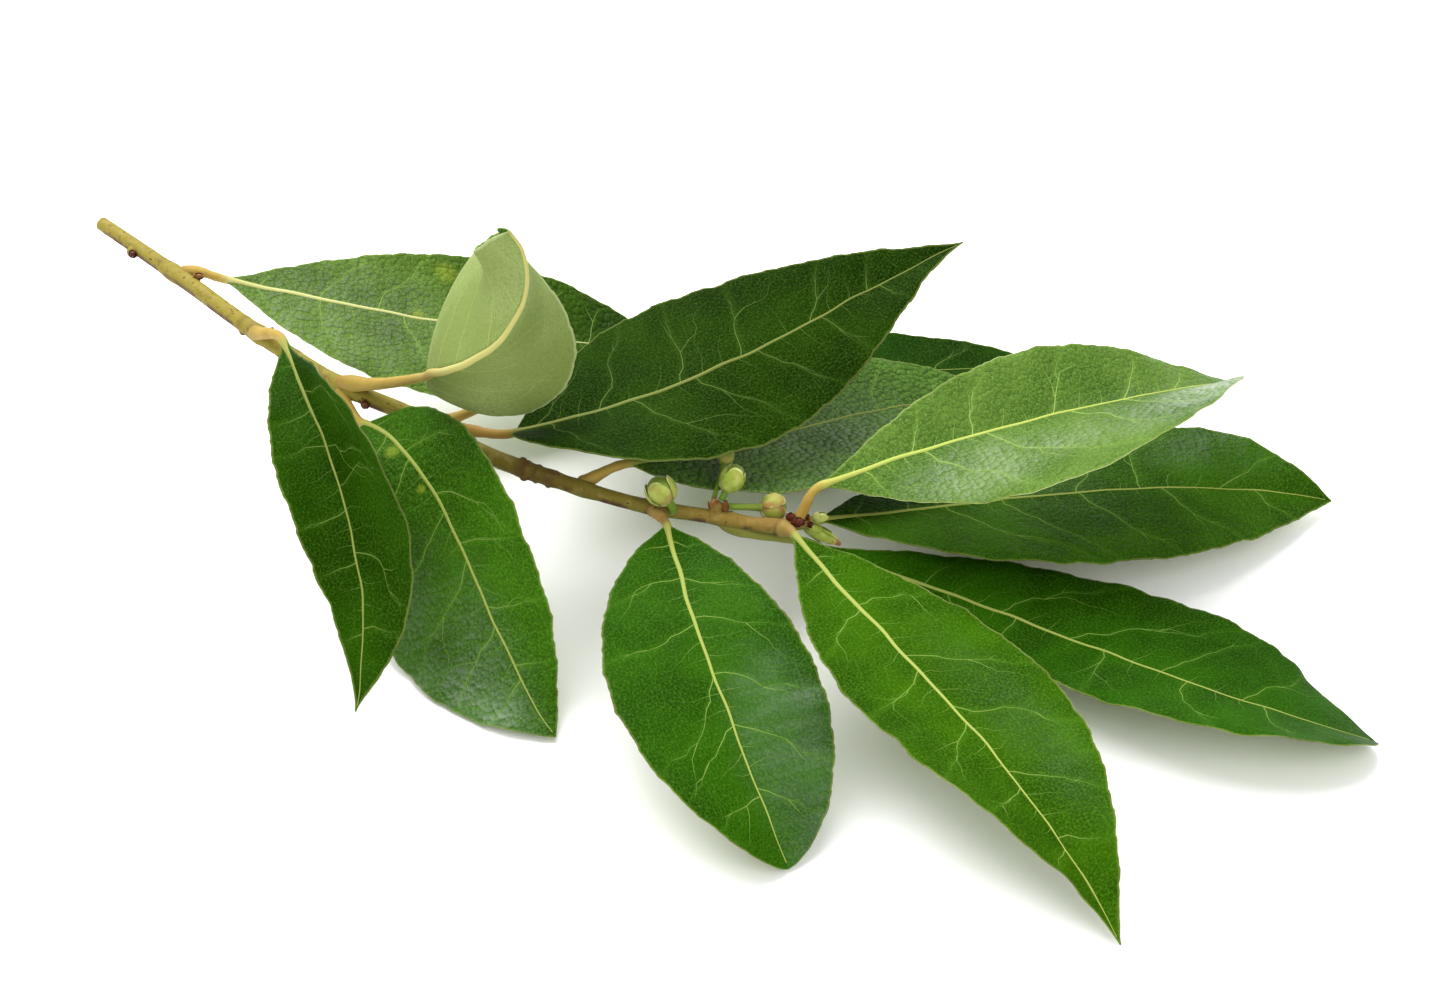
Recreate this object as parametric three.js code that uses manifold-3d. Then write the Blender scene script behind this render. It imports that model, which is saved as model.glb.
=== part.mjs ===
// A cut bay leaf branch (Laurus nobilis), lying on its own leaves on a flat surface.
// Millimetres, +Z up, X along the branch from the cut end to the growing tip, Y away from the front.
// The finished group has its origin on the surface, under the middle of the branch.
import * as THREE from 'three';
import { mergeVertices } from 'three/addons/utils/BufferGeometryUtils.js';
import Module from 'manifold-3d';

const { PI, cos, sin, abs, hypot } = Math;
const radians = THREE.MathUtils.degToRad;
const lerp = THREE.MathUtils.lerp;
const vector = (xyz) => new THREE.Vector3(...xyz);

// ---------------------------------------------------------------- driving dimensions

const GAP = 0.3; // air between two pieces that grow on each other

// Centre line of the woody stem, from the cut to the growing tip.
const STEM_LINE = [
  [-109.5, 42, 30], [-93, 24.5, 29.5], [-78.5, 9, 28.5], [-64, -4, 27], [-51, -12, 26], [-38, -20.5, 24],
  [-26.5, -25.5, 22.5], [-13.5, -30, 21], [-1, -31.5, 19.5], [8, -32.5, 18.5], [14.5, -30.5, 18],
];
// Stem radius at a distance along that line: it swells to the old growth ring, then thins.
const STEM_RADIUS = [
  [0, 1.25], [30, 1.45], [95, 1.4], [104, 1.45], [112, 1.2], [140, 1.15], [151.5, 0.95],
];
const NODE_SWELLING = { height: 0.25, reach: 2 }; // where a leaf joins
const STEM_SIDES = 12;
const STEM_STEP = 2; // distance between its rings

// The short side spur that carries three of the flower buds.
const SPUR = { at: 135, top: [-0.3, -31, 22.2], radius: [1.1, 0.95] };

// Small bumps on the bark: old leaf scars and rings of bud scales, part sunk into it.
const SCAR_SUNK = 0.4; // share of a scar's radius
const SCARS = [
  { at: 8, around: 110, radius: 1.1 },
  { at: 42, around: 150, radius: 0.9 },
  { at: 55, around: 60, radius: 0.8 },
  { at: 102, around: -20, radius: 1.0 },
  { at: 103, around: 120, radius: 1.0 },
  { at: 107, around: 160, radius: 0.8 },
  { at: 108, around: 0, radius: 0.8 },
];

// The leaves, in order from the cut end. A leaf joins the stem `at` a distance along it, `around` it
// (0 on top, 90 on the right). Its stalk bends to `base`, where the blade starts. Heading is the
// direction seen from above and pitch the rise, both at base, middle and tip. The two halves of the
// blade, left and right of the midrib, have their own width. `outline` shapes how the width grows
// from the base and dies out at the tip. Roll turns the blade about its midrib, fold lifts the
// halves, both at base, middle and tip, and curl rolls the margins further up. The leaf that is
// `upturned` shows its pale underside.
const LEAVES = [
  {
    name: 'leaf_01', at: 21.5, around: -55, base: [-85.5, 25, 29], length: 83,
    heading: [0, 13, 25], pitch: [-15, -19, -21], half: [15.5, 20], outline: [1, 0.85],
    roll: [-12, -16, -9], fold: [-3, 4, 21], curl: 5,
  },
  {
    name: 'leaf_02', at: 46, around: 60, base: [-72.5, -1, 33], length: 70,
    heading: [-72, -71, -104], pitch: [-2, -30, -44], half: [15.5, 10], outline: [1.1, 1.3],
    roll: [-37, -29, 40], fold: [26, 30, -7], curl: 30,
  },
  {
    name: 'leaf_03', at: 67, around: 110, base: [-58.5, -12.5, 24.5], length: 68,
    heading: [-49, -61, -55], pitch: [19, -32, -16], half: [12, 21.5], outline: [0.7, 0.9],
    roll: [-4, -50, 5], fold: [10, 2, -6], curl: 1,
  },
  {
    name: 'leaf_04', at: 66, around: 10, base: [-48, -12.5, 32], length: 61, upturned: true,
    heading: [-82, -29, 87], pitch: [55, 44, 148.5], half: [22, 24], outline: [0.7, 1.2],
    roll: [74, 79, 90.5], fold: [17, 52, 66], curl: 29,
  },
  {
    name: 'leaf_05', at: 85, around: -125, base: [-37.5, -9, 26], length: 115,
    heading: [39, 30, 3], pitch: [-20, -14, -1], half: [16.5, 17], outline: [0.95, 0.95],
    roll: [-2, 12, 1], fold: [12, 10, 12], curl: 7,
  },
  {
    name: 'leaf_06', at: 88, around: -50, base: [-33.5, -18.5, 27], length: 88,
    heading: [-17, 39, 16], pitch: [25, 2, 21], half: [17, 16.5], outline: [0.65, 1.15],
    roll: [5, -20, -17], fold: [28, -2, 30], curl: -6,
  },
  {
    name: 'leaf_07', at: 113, around: -90, base: [-14.5, -23.5, 24.5], length: 79,
    heading: [20, 38, 14], pitch: [-8, -11, -18], half: [16, 18.5], outline: [0.9, 1],
    roll: [-18, -6, -2], fold: [7, 7, 15], curl: 6,
  },
  {
    name: 'leaf_08', at: 126, around: 70, base: [-8.5, -35.5, 20.5], length: 67,
    heading: [-82, -72, -63], pitch: [1, -17, -39], half: [15.5, 18], outline: [0.9, 0.65],
    roll: [-3, 2, 14], fold: [9, 6, 16], curl: 7,
  },
  {
    name: 'leaf_09', at: 137, around: 140, base: [15.5, -30.5, 13], length: 99,
    heading: [7, -37, 9], pitch: [-30, 4, -27], half: [20, 13.5], outline: [1.25, 0.65],
    roll: [-9, 3, 21], fold: [4, 1, 7], curl: 2,
  },
  {
    name: 'leaf_10', at: 144, around: 95, base: [12, -36.5, 19.5], length: 91,
    heading: [-58, -58, -59], pitch: [-11, -7, -34], half: [18, 15], outline: [1.05, 1.2],
    roll: [2, 8, 8], fold: [-3, -1, 30], curl: 13,
  },
  {
    name: 'leaf_11', at: 149, around: -120, base: [16.5, -23.5, 13], length: 92,
    heading: [19, 13, 9], pitch: [-8, -4, -19], half: [19.5, 21.5], outline: [1, 1.05],
    roll: [1, 8, -35], fold: [3, -2, 30], curl: -6,
  },
  {
    name: 'leaf_12', at: 150, around: -5, base: [16.5, -29, 24], length: 83,
    heading: [22, 22, 52], pitch: [9, 0, -28], half: [12.5, 20], outline: [1.15, 1.1],
    roll: [-30, -10, 20], fold: [-1, 17, 19], curl: 8,
  },
];
const STALK_RADIUS = { root: 0.95, blade: 0.75, tip: 0.15 }; // leaf stalk, and the midrib it runs into
const STALK_BEND = 0.4; // length of the stalk's two bends, as a share of its span
const LEAN = 1.6; // how far a stalk leans from straight out towards the tip of the branch
const BLADE_THICKNESS = { base: 0.75, tip: 0.2 }; // half thickness on the midrib; the margins are sharp
const STALK_RINGS = 5;
const BLADE_RINGS = 18;
const LEAF_SIDES = 12;
const MIDRIB_STEPS = 32; // the midrib is followed in this many short straight steps
const TINY = 1e-6;

// Round flower buds on green stalks. `foot` is the stalk's start: on the stem or on top of the spur.
const FLOWER_BUDS = [
  {
    name: 'flower_bud_1', at: 128, around: 60, centre: [-9.5, -31.8, 25],
    radius: 2.6, tall: 2.6, stalk: 0.65,
  },
  {
    name: 'flower_bud_2', foot: [0.2, -30.9, 22.9], centre: [2, -28.4, 25],
    radius: 2.2, tall: 2.6, stalk: 0.5,
  },
  {
    name: 'flower_bud_3', foot: [1.3, -31.4, 21.8], centre: [8.7, -28.7, 19.3],
    radius: 2.3, tall: 2.3, stalk: 0.5,
  },
  {
    name: 'flower_bud_4', foot: [-1.2, -29.7, 22.8], centre: [1, -22.9, 25.3],
    radius: 1.3, tall: 1.4, stalk: 0.35,
  },
];
const BUD_STALK_BEND = 0.45; // where the stalk of a flower bud bends, as a share of its span
const BUD_STALK_FLARE = 0.5; // how much thicker it is under the bud

// Resting leaf buds: pointed spindles that sit on the stem, mostly where a leaf joins it.
const LEAF_BUDS = [
  { name: 'leaf_bud_1', at: 26, around: -45, length: 2, radius: 0.6 },
  { name: 'leaf_bud_2', at: 71.5, around: 90, length: 1.8, radius: 0.6 },
  { name: 'leaf_bud_3', at: 88, around: -110, length: 2.2, radius: 0.7 },
  { name: 'leaf_bud_4', at: 123, around: 50, length: 1.4, radius: 0.45 },
  { name: 'leaf_bud_5', at: 147.5, around: 50, length: 2, radius: 0.7 },
  { name: 'leaf_bud_6', at: 147, around: 0, length: 1.5, radius: 0.6 },
];
const SPINDLE_LEAN = 0.15; // the fullest place lies this share of the length below the middle
const SPINDLE_BLUNT = 0.55; // 0 tapers to nothing at both ends, 1 is a plain rod
const SPINDLE_ROOT = 0.8; // radius of the foot, as a share of the fullest radius
const SPINDLE_SIDES = 10;
const SPINDLE_RINGS = 6;

// The two buds at the growing tip.
const TIP_BUDS = [
  { name: 'tip_bud_green', foot: [15, -30.2, 16.4], tip: [19.2, -31.3, 14.2], radius: 1.1 },
  { name: 'tip_bud_pale', foot: [15.3, -30.3, 18], tip: [17.5, -29.8, 18.4], radius: 0.9 },
];

// ---------------------------------------------------------------- materials

const finish = (color, roughness) => new THREE.MeshStandardMaterial({ color, roughness, metalness: 0 });
const bark = () => finish('#a08a4c', 0.7);
const leafGreen = () => finish('#2f6420', 0.5);
const leafUnderside = () => finish('#8ea865', 0.65);
const budGreen = () => finish('#a9b36a', 0.55);
const budBrown = () => finish('#6f3a26', 0.6);

// ---------------------------------------------------------------- closed solids

// Reverses the triangles when they face inwards.
function facingOut(geometry) {
  const { position } = geometry.attributes;
  const index = geometry.index.array;
  const corner = [0, 1, 2].map(() => new THREE.Vector3());
  let volume = 0;
  for (let i = 0; i < index.length; i += 3) {
    corner.forEach((point, j) => point.fromBufferAttribute(position, index[i + j]));
    volume += corner[0].dot(corner[1].cross(corner[2]));
  }
  if (volume < 0) index.reverse();
  geometry.computeVertexNormals();
  return geometry;
}

// Skins a row of closed rings, each with the same number of points, and closes both ends. On a flat
// piece the second half of each ring lies under the first, and the two are cut into triangles along
// the same diagonals, so that they can't pass through each other where the piece twists.
function loft(rings, first, last, flat = false) {
  const sides = rings[0].length;
  const points = [...rings.flat(), first, last];
  const [firstEnd, lastEnd] = [points.length - 2, points.length - 1];
  const index = [];
  for (let side = 0; side < sides; side++) {
    const next = (side + 1) % sides;
    for (let ring = 0; ring + 1 < rings.length; ring++) {
      const [a, b] = [ring * sides + side, ring * sides + next];
      const [c, d] = [a + sides, b + sides];
      if (flat && side >= sides / 2) index.push(a, c, d, a, d, b);
      else index.push(a, c, b, b, c, d);
    }
    const start = (rings.length - 1) * sides;
    index.push(firstEnd, side, next, lastEnd, start + next, start + side);
  }
  const geometry = new THREE.BufferGeometry().setFromPoints(points);
  geometry.setIndex(index);
  return facingOut(geometry);
}

// Rings of a round tube along a curve; `radius` gives the radius at a share of its length.
function tubeRings(curve, radius, sides, steps) {
  const frames = curve.computeFrenetFrames(steps);
  return Array.from({ length: steps + 1 }, (_, step) => {
    const centre = curve.getPointAt(step / steps);
    const size = radius(step / steps);
    return Array.from({ length: sides }, (_, side) => {
      const angle = (2 * PI * side) / sides;
      return centre.clone()
        .addScaledVector(frames.normals[step], size * cos(angle))
        .addScaledVector(frames.binormals[step], size * sin(angle));
    });
  });
}

function tube(curve, radius, sides, steps) {
  return loft(tubeRings(curve, radius, sides, steps), curve.getPointAt(0), curve.getPointAt(1));
}

// A ball stretched along one direction.
function ball(centre, radius, tall = radius, along = new THREE.Vector3(0, 0, 1)) {
  const geometry = new THREE.SphereGeometry(1, 14, 9).rotateX(PI / 2).scale(radius, radius, tall);
  const turn = new THREE.Quaternion().setFromUnitVectors(new THREE.Vector3(0, 0, 1), along);
  return geometry.applyQuaternion(turn).translate(centre.x, centre.y, centre.z);
}

// ---------------------------------------------------------------- joining

const wasm = await Module();
wasm.setup();

function toSolid(geometry) {
  const bare = geometry.clone();
  bare.deleteAttribute('normal');
  bare.deleteAttribute('uv');
  const merged = mergeVertices(bare, 1e-4);
  return new wasm.Manifold(new wasm.Mesh({
    numProp: 3,
    vertProperties: new Float32Array(merged.attributes.position.array),
    triVerts: new Uint32Array(merged.index.array),
  }));
}

function joined(geometries) {
  const solid = geometries.map(toSolid).reduce((whole, piece) => whole.add(piece));
  const { vertProperties, triVerts } = solid.getMesh();
  const geometry = new THREE.BufferGeometry();
  geometry.setAttribute('position', new THREE.BufferAttribute(vertProperties, 3));
  geometry.setIndex(new THREE.BufferAttribute(triVerts, 1));
  geometry.computeVertexNormals();
  return geometry;
}

// ---------------------------------------------------------------- stem

const stemCurve = new THREE.CatmullRomCurve3(STEM_LINE.map(vector), false, 'catmullrom');
const stemLength = stemCurve.getLength();
const leafNodes = LEAVES.map((leaf) => leaf.at);

// Value of a [distance, value] table at a distance.
function tableAt(table, distance) {
  const after = table.findIndex(([at]) => at >= distance);
  if (after <= 0) return after === 0 ? table[0][1] : table.at(-1)[1];
  const [[at0, value0], [at1, value1]] = [table[after - 1], table[after]];
  return lerp(value0, value1, (distance - at0) / (at1 - at0));
}

function stemRadius(distance) {
  const swelling = leafNodes.map((at) => Math.exp(-(((distance - at) / NODE_SWELLING.reach) ** 2)));
  return tableAt(STEM_RADIUS, distance) + NODE_SWELLING.height * Math.max(...swelling);
}

// Where something grows on the stem: the centre, the way straight out, and the way along.
function stemPlace(at, around) {
  const centre = stemCurve.getPointAt(at / stemLength);
  const along = stemCurve.getTangentAt(at / stemLength);
  const right = along.clone().cross(new THREE.Vector3(0, 0, 1)).normalize();
  const up = right.clone().cross(along);
  const out = up.multiplyScalar(cos(radians(around))).addScaledVector(right, sin(radians(around)));
  return { centre, along, out };
}

// Start of a stalk that stands clear of the bark and leans towards the tip of the branch.
function sprout(at, around, radius) {
  const { centre, along, out } = stemPlace(at, around);
  const leaving = out.clone().addScaledVector(along, LEAN).normalize();
  const clearance = stemRadius(at) + GAP + radius * (LEAN / hypot(1, LEAN));
  return { foot: centre.addScaledVector(out, clearance), leaving };
}

function makeStem() {
  const steps = Math.round(stemLength / STEM_STEP);
  const axis = tube(stemCurve, (share) => stemRadius(share * stemLength), STEM_SIDES, steps);
  const spurCurve = new THREE.LineCurve3(stemPlace(SPUR.at, 0).centre, vector(SPUR.top));
  const spur = tube(spurCurve, (share) => lerp(...SPUR.radius, share), STEM_SIDES, 2);
  const scars = SCARS.map(({ at, around, radius }) => {
    const { centre, out } = stemPlace(at, around);
    return ball(centre.addScaledVector(out, stemRadius(at) - radius * SCAR_SUNK), radius);
  });
  return joined([axis, spur, ...scars]);
}

// ---------------------------------------------------------------- leaves

// Value at a share u of the blade, from its values at base, middle and tip.
const along3 = ([base, middle, tip], u) =>
  base * (1 - u) * (1 - 2 * u) + 4 * middle * u * (1 - u) + tip * u * (2 * u - 1);

// Relative half width at a share u of the blade: 1 at the widest place, 0 at both ends.
function fullness([rise, fall], u) {
  const widest = rise / (rise + fall);
  return (u / widest) ** rise * ((1 - u) / (1 - widest)) ** fall;
}

function direction(heading, pitch) {
  return new THREE.Vector3(cos(pitch) * cos(heading), cos(pitch) * sin(heading), sin(pitch));
}

// Midrib point, with the blade's right and up directions there.
function bladeFrame(leaf, u) {
  const point = vector(leaf.base);
  for (let step = 0; step < MIDRIB_STEPS; step++) {
    const share = ((step + 0.5) / MIDRIB_STEPS) * u;
    const ahead = direction(radians(along3(leaf.heading, share)), radians(along3(leaf.pitch, share)));
    point.addScaledVector(ahead, (leaf.length * u) / MIDRIB_STEPS);
  }
  const heading = radians(along3(leaf.heading, u));
  const ahead = direction(heading, radians(along3(leaf.pitch, u)));
  const right = new THREE.Vector3(sin(heading), -cos(heading), 0);
  const up = right.clone().cross(ahead);
  const roll = radians(along3(leaf.roll, u));
  return {
    point, ahead,
    right: right.clone().multiplyScalar(cos(roll)).addScaledVector(up, sin(roll)),
    up: up.clone().multiplyScalar(cos(roll)).addScaledVector(right, -sin(roll)),
  };
}

// One closed ring round the blade: its upper side, then its underside, meeting in sharp margins.
// Where the blade is hardly wider than its rib, at both ends, it has no fold.
function bladeRing(leaf, u) {
  const { point, right, up } = bladeFrame(leaf, u);
  const rib = lerp(STALK_RADIUS.blade, STALK_RADIUS.tip, u);
  const thickness = lerp(BLADE_THICKNESS.tip, BLADE_THICKNESS.base, (1 - u) ** 2);
  return Array.from({ length: LEAF_SIDES }, (_, side) => {
    const angle = (2 * PI * side) / LEAF_SIDES;
    const out = abs(cos(angle)); // 0 on the midrib, 1 on the margin
    const sign = cos(angle) < 0 ? -1 : 1;
    const width = hypot(leaf.half[sign < 0 ? 0 : 1] * fullness(leaf.outline, u), rib);
    const fold = radians(along3(leaf.fold, u)) * (1 - rib / width);
    const curl = radians(leaf.curl) * (1 - rib / width) || TINY;
    const slope = out < TINY ? 0 : sign * (fold + curl * out);
    const across = (width * (sin(fold + curl * out) - sin(fold))) / curl;
    const rise = (width * (cos(fold) - cos(fold + curl * out))) / curl;
    return point.clone()
      .addScaledVector(right, sign * across - thickness * sin(angle) * sin(slope))
      .addScaledVector(up, rise + thickness * sin(angle) * cos(slope));
  });
}

// Round rings from the stem to the blade, carrying the blade's right direction back along the bend.
function stalkRings(leaf) {
  const { foot, leaving } = sprout(leaf.at, leaf.around, STALK_RADIUS.root);
  const { point: base, ahead, right } = bladeFrame(leaf, 0);
  const bend = STALK_BEND * foot.distanceTo(base);
  const curve = new THREE.CubicBezierCurve3(
    foot,
    foot.clone().addScaledVector(leaving, bend),
    base.clone().addScaledVector(ahead, -bend),
    base,
  );
  const rings = [];
  const side = right.clone();
  for (let ring = STALK_RINGS - 1; ring >= 0; ring--) {
    const share = ring / STALK_RINGS;
    const tangent = curve.getTangent(share);
    side.addScaledVector(tangent, -side.dot(tangent)).normalize();
    const up = side.clone().cross(tangent);
    const radius = lerp(STALK_RADIUS.root, STALK_RADIUS.blade, Math.min(1, share * 2));
    rings.unshift(Array.from({ length: LEAF_SIDES }, (_, i) => {
      const angle = (2 * PI * i) / LEAF_SIDES;
      return curve.getPoint(share)
        .addScaledVector(side, radius * cos(angle))
        .addScaledVector(up, radius * sin(angle));
    }));
  }
  return { foot, rings };
}

function makeLeaf(leaf) {
  const stalk = stalkRings(leaf);
  // The rings crowd together at the base and at the tip, where the outline turns fastest.
  const blade = Array.from({ length: BLADE_RINGS }, (_, ring) =>
    bladeRing(leaf, (1 - cos((PI * ring) / BLADE_RINGS)) / 2));
  return loft([...stalk.rings, ...blade], stalk.foot, bladeFrame(leaf, 1).point, true);
}

// ---------------------------------------------------------------- buds

function makeFlowerBud(bud) {
  const start = bud.foot ? { foot: vector(bud.foot) } : sprout(bud.at, bud.around, bud.stalk);
  const { foot, leaving } = start;
  const centre = vector(bud.centre);
  const way = leaving ?? centre.clone().sub(foot).normalize();
  const bend = foot.clone().addScaledVector(way, BUD_STALK_BEND * foot.distanceTo(centre));
  const curve = new THREE.QuadraticBezierCurve3(foot, bend, centre);
  const stalk = tube(curve, (share) => bud.stalk * (1 + BUD_STALK_FLARE * share ** 3), 8, 6);
  return joined([stalk, ball(centre, bud.radius, bud.tall, curve.getTangent(1))]);
}

// A pointed spindle between two points: a blunt foot, a full middle and a sharp tip.
function spindle(foot, tip, radius) {
  const curve = new THREE.LineCurve3(foot, tip);
  const belly = (share) => sin(PI * (share + SPINDLE_LEAN));
  const size = (share) => radius * lerp(belly(share), 1, SPINDLE_BLUNT);
  const rings = tubeRings(curve, size, SPINDLE_SIDES, SPINDLE_RINGS);
  return loft(rings.slice(0, -1), foot, tip);
}

function makeLeafBud({ at, around, length, radius }) {
  const { foot, leaving } = sprout(at, around, radius * SPINDLE_ROOT);
  return spindle(foot, foot.clone().addScaledVector(leaving, length), radius);
}

// ---------------------------------------------------------------- the branch

const branch = new THREE.Group();

function add(name, geometry, material) {
  const mesh = new THREE.Mesh(geometry, material);
  mesh.name = name;
  branch.add(mesh);
}

add('stem', makeStem(), bark());
for (const leaf of LEAVES) {
  add(leaf.name, makeLeaf(leaf), leaf.upturned ? leafUnderside() : leafGreen());
}
for (const bud of FLOWER_BUDS) add(bud.name, makeFlowerBud(bud), budGreen());
for (const bud of LEAF_BUDS) add(bud.name, makeLeafBud(bud), budBrown());
for (const { name, foot, tip, radius } of TIP_BUDS) {
  add(name, spindle(vector(foot), vector(tip), radius), budGreen());
}

// The surface is z = 0 and the origin is under the middle of the branch.
const box = new THREE.Box3().setFromObject(branch, true);
const middle = box.getCenter(new THREE.Vector3());
branch.position.set(-middle.x, -middle.y, -box.min.z);

export default branch;
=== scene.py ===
# %% [markdown]
# # A cut branch of bay laurel
#
# Twelve leathery leaves, a slim woody stem, four flower buds and a few resting buds lie on a pale
# table. Every leaf is grown from the same short recipe, so this lesson spends most of its time on
# one leaf: its curved blade, its ribs, and the skin that makes it look waxy above and matt below.
# The CAD model comes first, because it fixes the size and the place of every piece.

import math

import bpy
import numpy as np
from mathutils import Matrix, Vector


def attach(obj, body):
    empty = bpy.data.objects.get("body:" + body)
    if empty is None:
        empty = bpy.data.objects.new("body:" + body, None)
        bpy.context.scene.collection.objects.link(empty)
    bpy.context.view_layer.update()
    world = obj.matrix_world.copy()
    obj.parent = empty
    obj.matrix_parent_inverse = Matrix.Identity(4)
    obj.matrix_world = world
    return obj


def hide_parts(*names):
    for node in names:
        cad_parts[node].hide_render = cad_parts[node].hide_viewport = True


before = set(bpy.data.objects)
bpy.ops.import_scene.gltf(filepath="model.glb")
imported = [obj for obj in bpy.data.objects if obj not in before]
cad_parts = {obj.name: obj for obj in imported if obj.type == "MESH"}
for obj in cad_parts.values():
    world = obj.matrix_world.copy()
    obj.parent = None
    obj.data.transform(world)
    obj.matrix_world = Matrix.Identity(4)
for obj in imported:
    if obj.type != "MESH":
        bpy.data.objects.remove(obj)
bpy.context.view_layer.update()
MM = 0.001  # metres in a millimetre

# %% [markdown]
# ## The measures of the branch
#
# A modeller could push vertices about until each leaf looks right. A recipe is better here: a leaf
# is a bent midrib, an outline, a roll and a fold, and a dozen numbers say all of that. The same
# numbers drive the solids, so the skins made here fit them without any dragging. Where a leaf has
# three numbers in a row, they hold at its base, half way up and at its tip.

# %% Measures, in millimetres and degrees
STEM_LINE = np.array([
    [-109.5, 42, 30], [-93, 24.5, 29.5], [-78.5, 9, 28.5], [-64, -4, 27], [-51, -12, 26],
    [-38, -20.5, 24], [-26.5, -25.5, 22.5], [-13.5, -30, 21], [-1, -31.5, 19.5], [8, -32.5, 18.5],
    [14.5, -30.5, 18],
])
STEM_RADIUS = np.array([  # distance from the cut end, radius
    [0, 1.25], [30, 1.45], [95, 1.4], [104, 1.45], [112, 1.2], [140, 1.15], [151.5, 0.95],
])
SWELLING, SWELLING_REACH = 0.25, 2.0  # of the stem where a leaf joins it
STALK_END, RIB_END = 0.75, 0.15  # half thickness of the stalk at the blade and of the midrib at the tip
LEAN = 1.6  # how far resting buds lean along the stem

# name: (distance of its joint along the stem, angle around the stem, base, length, heading, pitch,
#        half widths left and right, rise and fall of the outline, roll, fold, curl of each half)
LEAVES = {
    "leaf_01": (21.5, -55, (-85.5, 25, 29), 83, (0, 13, 25), (-15, -19, -21), (15.5, 20),
                (1, 0.85), (-12, -16, -9), (-3, 4, 21), 5),
    "leaf_02": (46, 60, (-72.5, -1, 33), 70, (-72, -71, -104), (-2, -30, -44), (15.5, 10),
                (1.1, 1.3), (-37, -29, 40), (26, 30, -7), 30),
    "leaf_03": (67, 110, (-58.5, -12.5, 24.5), 68, (-49, -61, -55), (19, -32, -16), (12, 21.5),
                (0.7, 0.9), (-4, -50, 5), (10, 2, -6), 1),
    "leaf_04": (66, 10, (-48, -12.5, 32), 61, (-82, -29, 87), (55, 44, 148.5), (22, 24),
                (0.7, 1.2), (74, 79, 90.5), (17, 52, 66), 29),
    "leaf_05": (85, -125, (-37.5, -9, 26), 115, (39, 30, 3), (-20, -14, -1), (16.5, 17),
                (0.95, 0.95), (-2, 12, 1), (12, 10, 12), 7),
    "leaf_06": (88, -50, (-33.5, -18.5, 27), 88, (-17, 39, 16), (25, 2, 21), (17, 16.5),
                (0.65, 1.15), (5, -20, -17), (28, -2, 30), -6),
    "leaf_07": (113, -90, (-14.5, -23.5, 24.5), 79, (20, 38, 14), (-8, -11, -18), (16, 18.5),
                (0.9, 1), (-18, -6, -2), (7, 7, 15), 6),
    "leaf_08": (126, 70, (-8.5, -35.5, 20.5), 67, (-82, -72, -63), (1, -17, -39), (15.5, 18),
                (0.9, 0.65), (-3, 2, 14), (9, 6, 16), 7),
    "leaf_09": (137, 140, (15.5, -30.5, 13), 99, (7, -37, 9), (-30, 4, -27), (20, 13.5),
                (1.25, 0.65), (-9, 3, 21), (4, 1, 7), 2),
    "leaf_10": (144, 95, (12, -36.5, 19.5), 91, (-58, -58, -59), (-11, -7, -34), (18, 15),
                (1.05, 1.2), (2, 8, 8), (-3, -1, 30), 13),
    "leaf_11": (149, -120, (16.5, -23.5, 13), 92, (19, 13, 9), (-8, -4, -19), (19.5, 21.5),
                (1, 1.05), (1, 8, -35), (3, -2, 30), -6),
    "leaf_12": (150, -5, (16.5, -29, 24), 83, (22, 22, 52), (9, 0, -28), (12.5, 20),
                (1.15, 1.1), (-30, -10, 20), (-1, 17, 19), 8),
}
print("leaves:", len(LEAVES), "longest:", max(leaf[3] for leaf in LEAVES.values()), "mm")

# %% [markdown]
# ## The stem's centre line
#
# Everything grows out of the stem, so its line comes before the leaves. A Catmull-Rom spline
# passes through every point it is given, which makes it the natural choice for a twig: each point
# is a place where the twig really is. It is sampled densely once, and places on it are then found
# by distance from the cut end.

# %% Stem line
def catmull_rom(points, samples):
    ends = [2 * points[0] - points[1], *points, 2 * points[-1] - points[-2]]
    t = np.linspace(0, 1, samples, endpoint=False)[:, None]
    rows = []
    for i in range(len(points) - 1):
        p0, p1, p2, p3 = ends[i:i + 4]
        m1, m2 = (p2 - p0) / 2, (p3 - p1) / 2
        rows.append((2 * t**3 - 3 * t**2 + 1) * p1 + (t**3 - 2 * t**2 + t) * m1
                    + (3 * t**2 - 2 * t**3) * p2 + (t**3 - t**2) * m2)
    return np.vstack([*rows, points[-1:]])


STEM_POINTS = catmull_rom(STEM_LINE, 60)
STEM_DISTANCE = np.r_[0, np.cumsum(np.linalg.norm(np.diff(STEM_POINTS, axis=0), axis=1))]
STEM_LENGTH = STEM_DISTANCE[-1]
JOINTS = np.array([leaf[0] for leaf in LEAVES.values()])


def unit(v):
    v = np.asarray(v, float)
    return v / np.linalg.norm(v, axis=-1, keepdims=True)


def on_stem(at):
    """Centre and direction of the stem at a distance from its cut end."""
    behind, place, ahead = (np.array([np.interp(at + d, STEM_DISTANCE, xyz) for xyz in STEM_POINTS.T])
                            for d in (-0.5, 0, 0.5))
    return place, unit(ahead - behind)


def stem_radius(at):
    swelling = np.exp(-(((at - JOINTS) / SWELLING_REACH) ** 2)).max()
    return np.interp(at, *STEM_RADIUS.T) + SWELLING * swelling


def outwards(at, around):
    """Centre, direction along the stem, and direction straight out of the bark."""
    centre, along = on_stem(at)
    right = unit(np.cross(along, (0, 0, 1)))
    up = np.cross(right, along)
    angle = math.radians(around)
    return centre, along, up * math.cos(angle) + right * math.sin(angle)


print("stem length:", round(STEM_LENGTH, 1), "mm")

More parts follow.
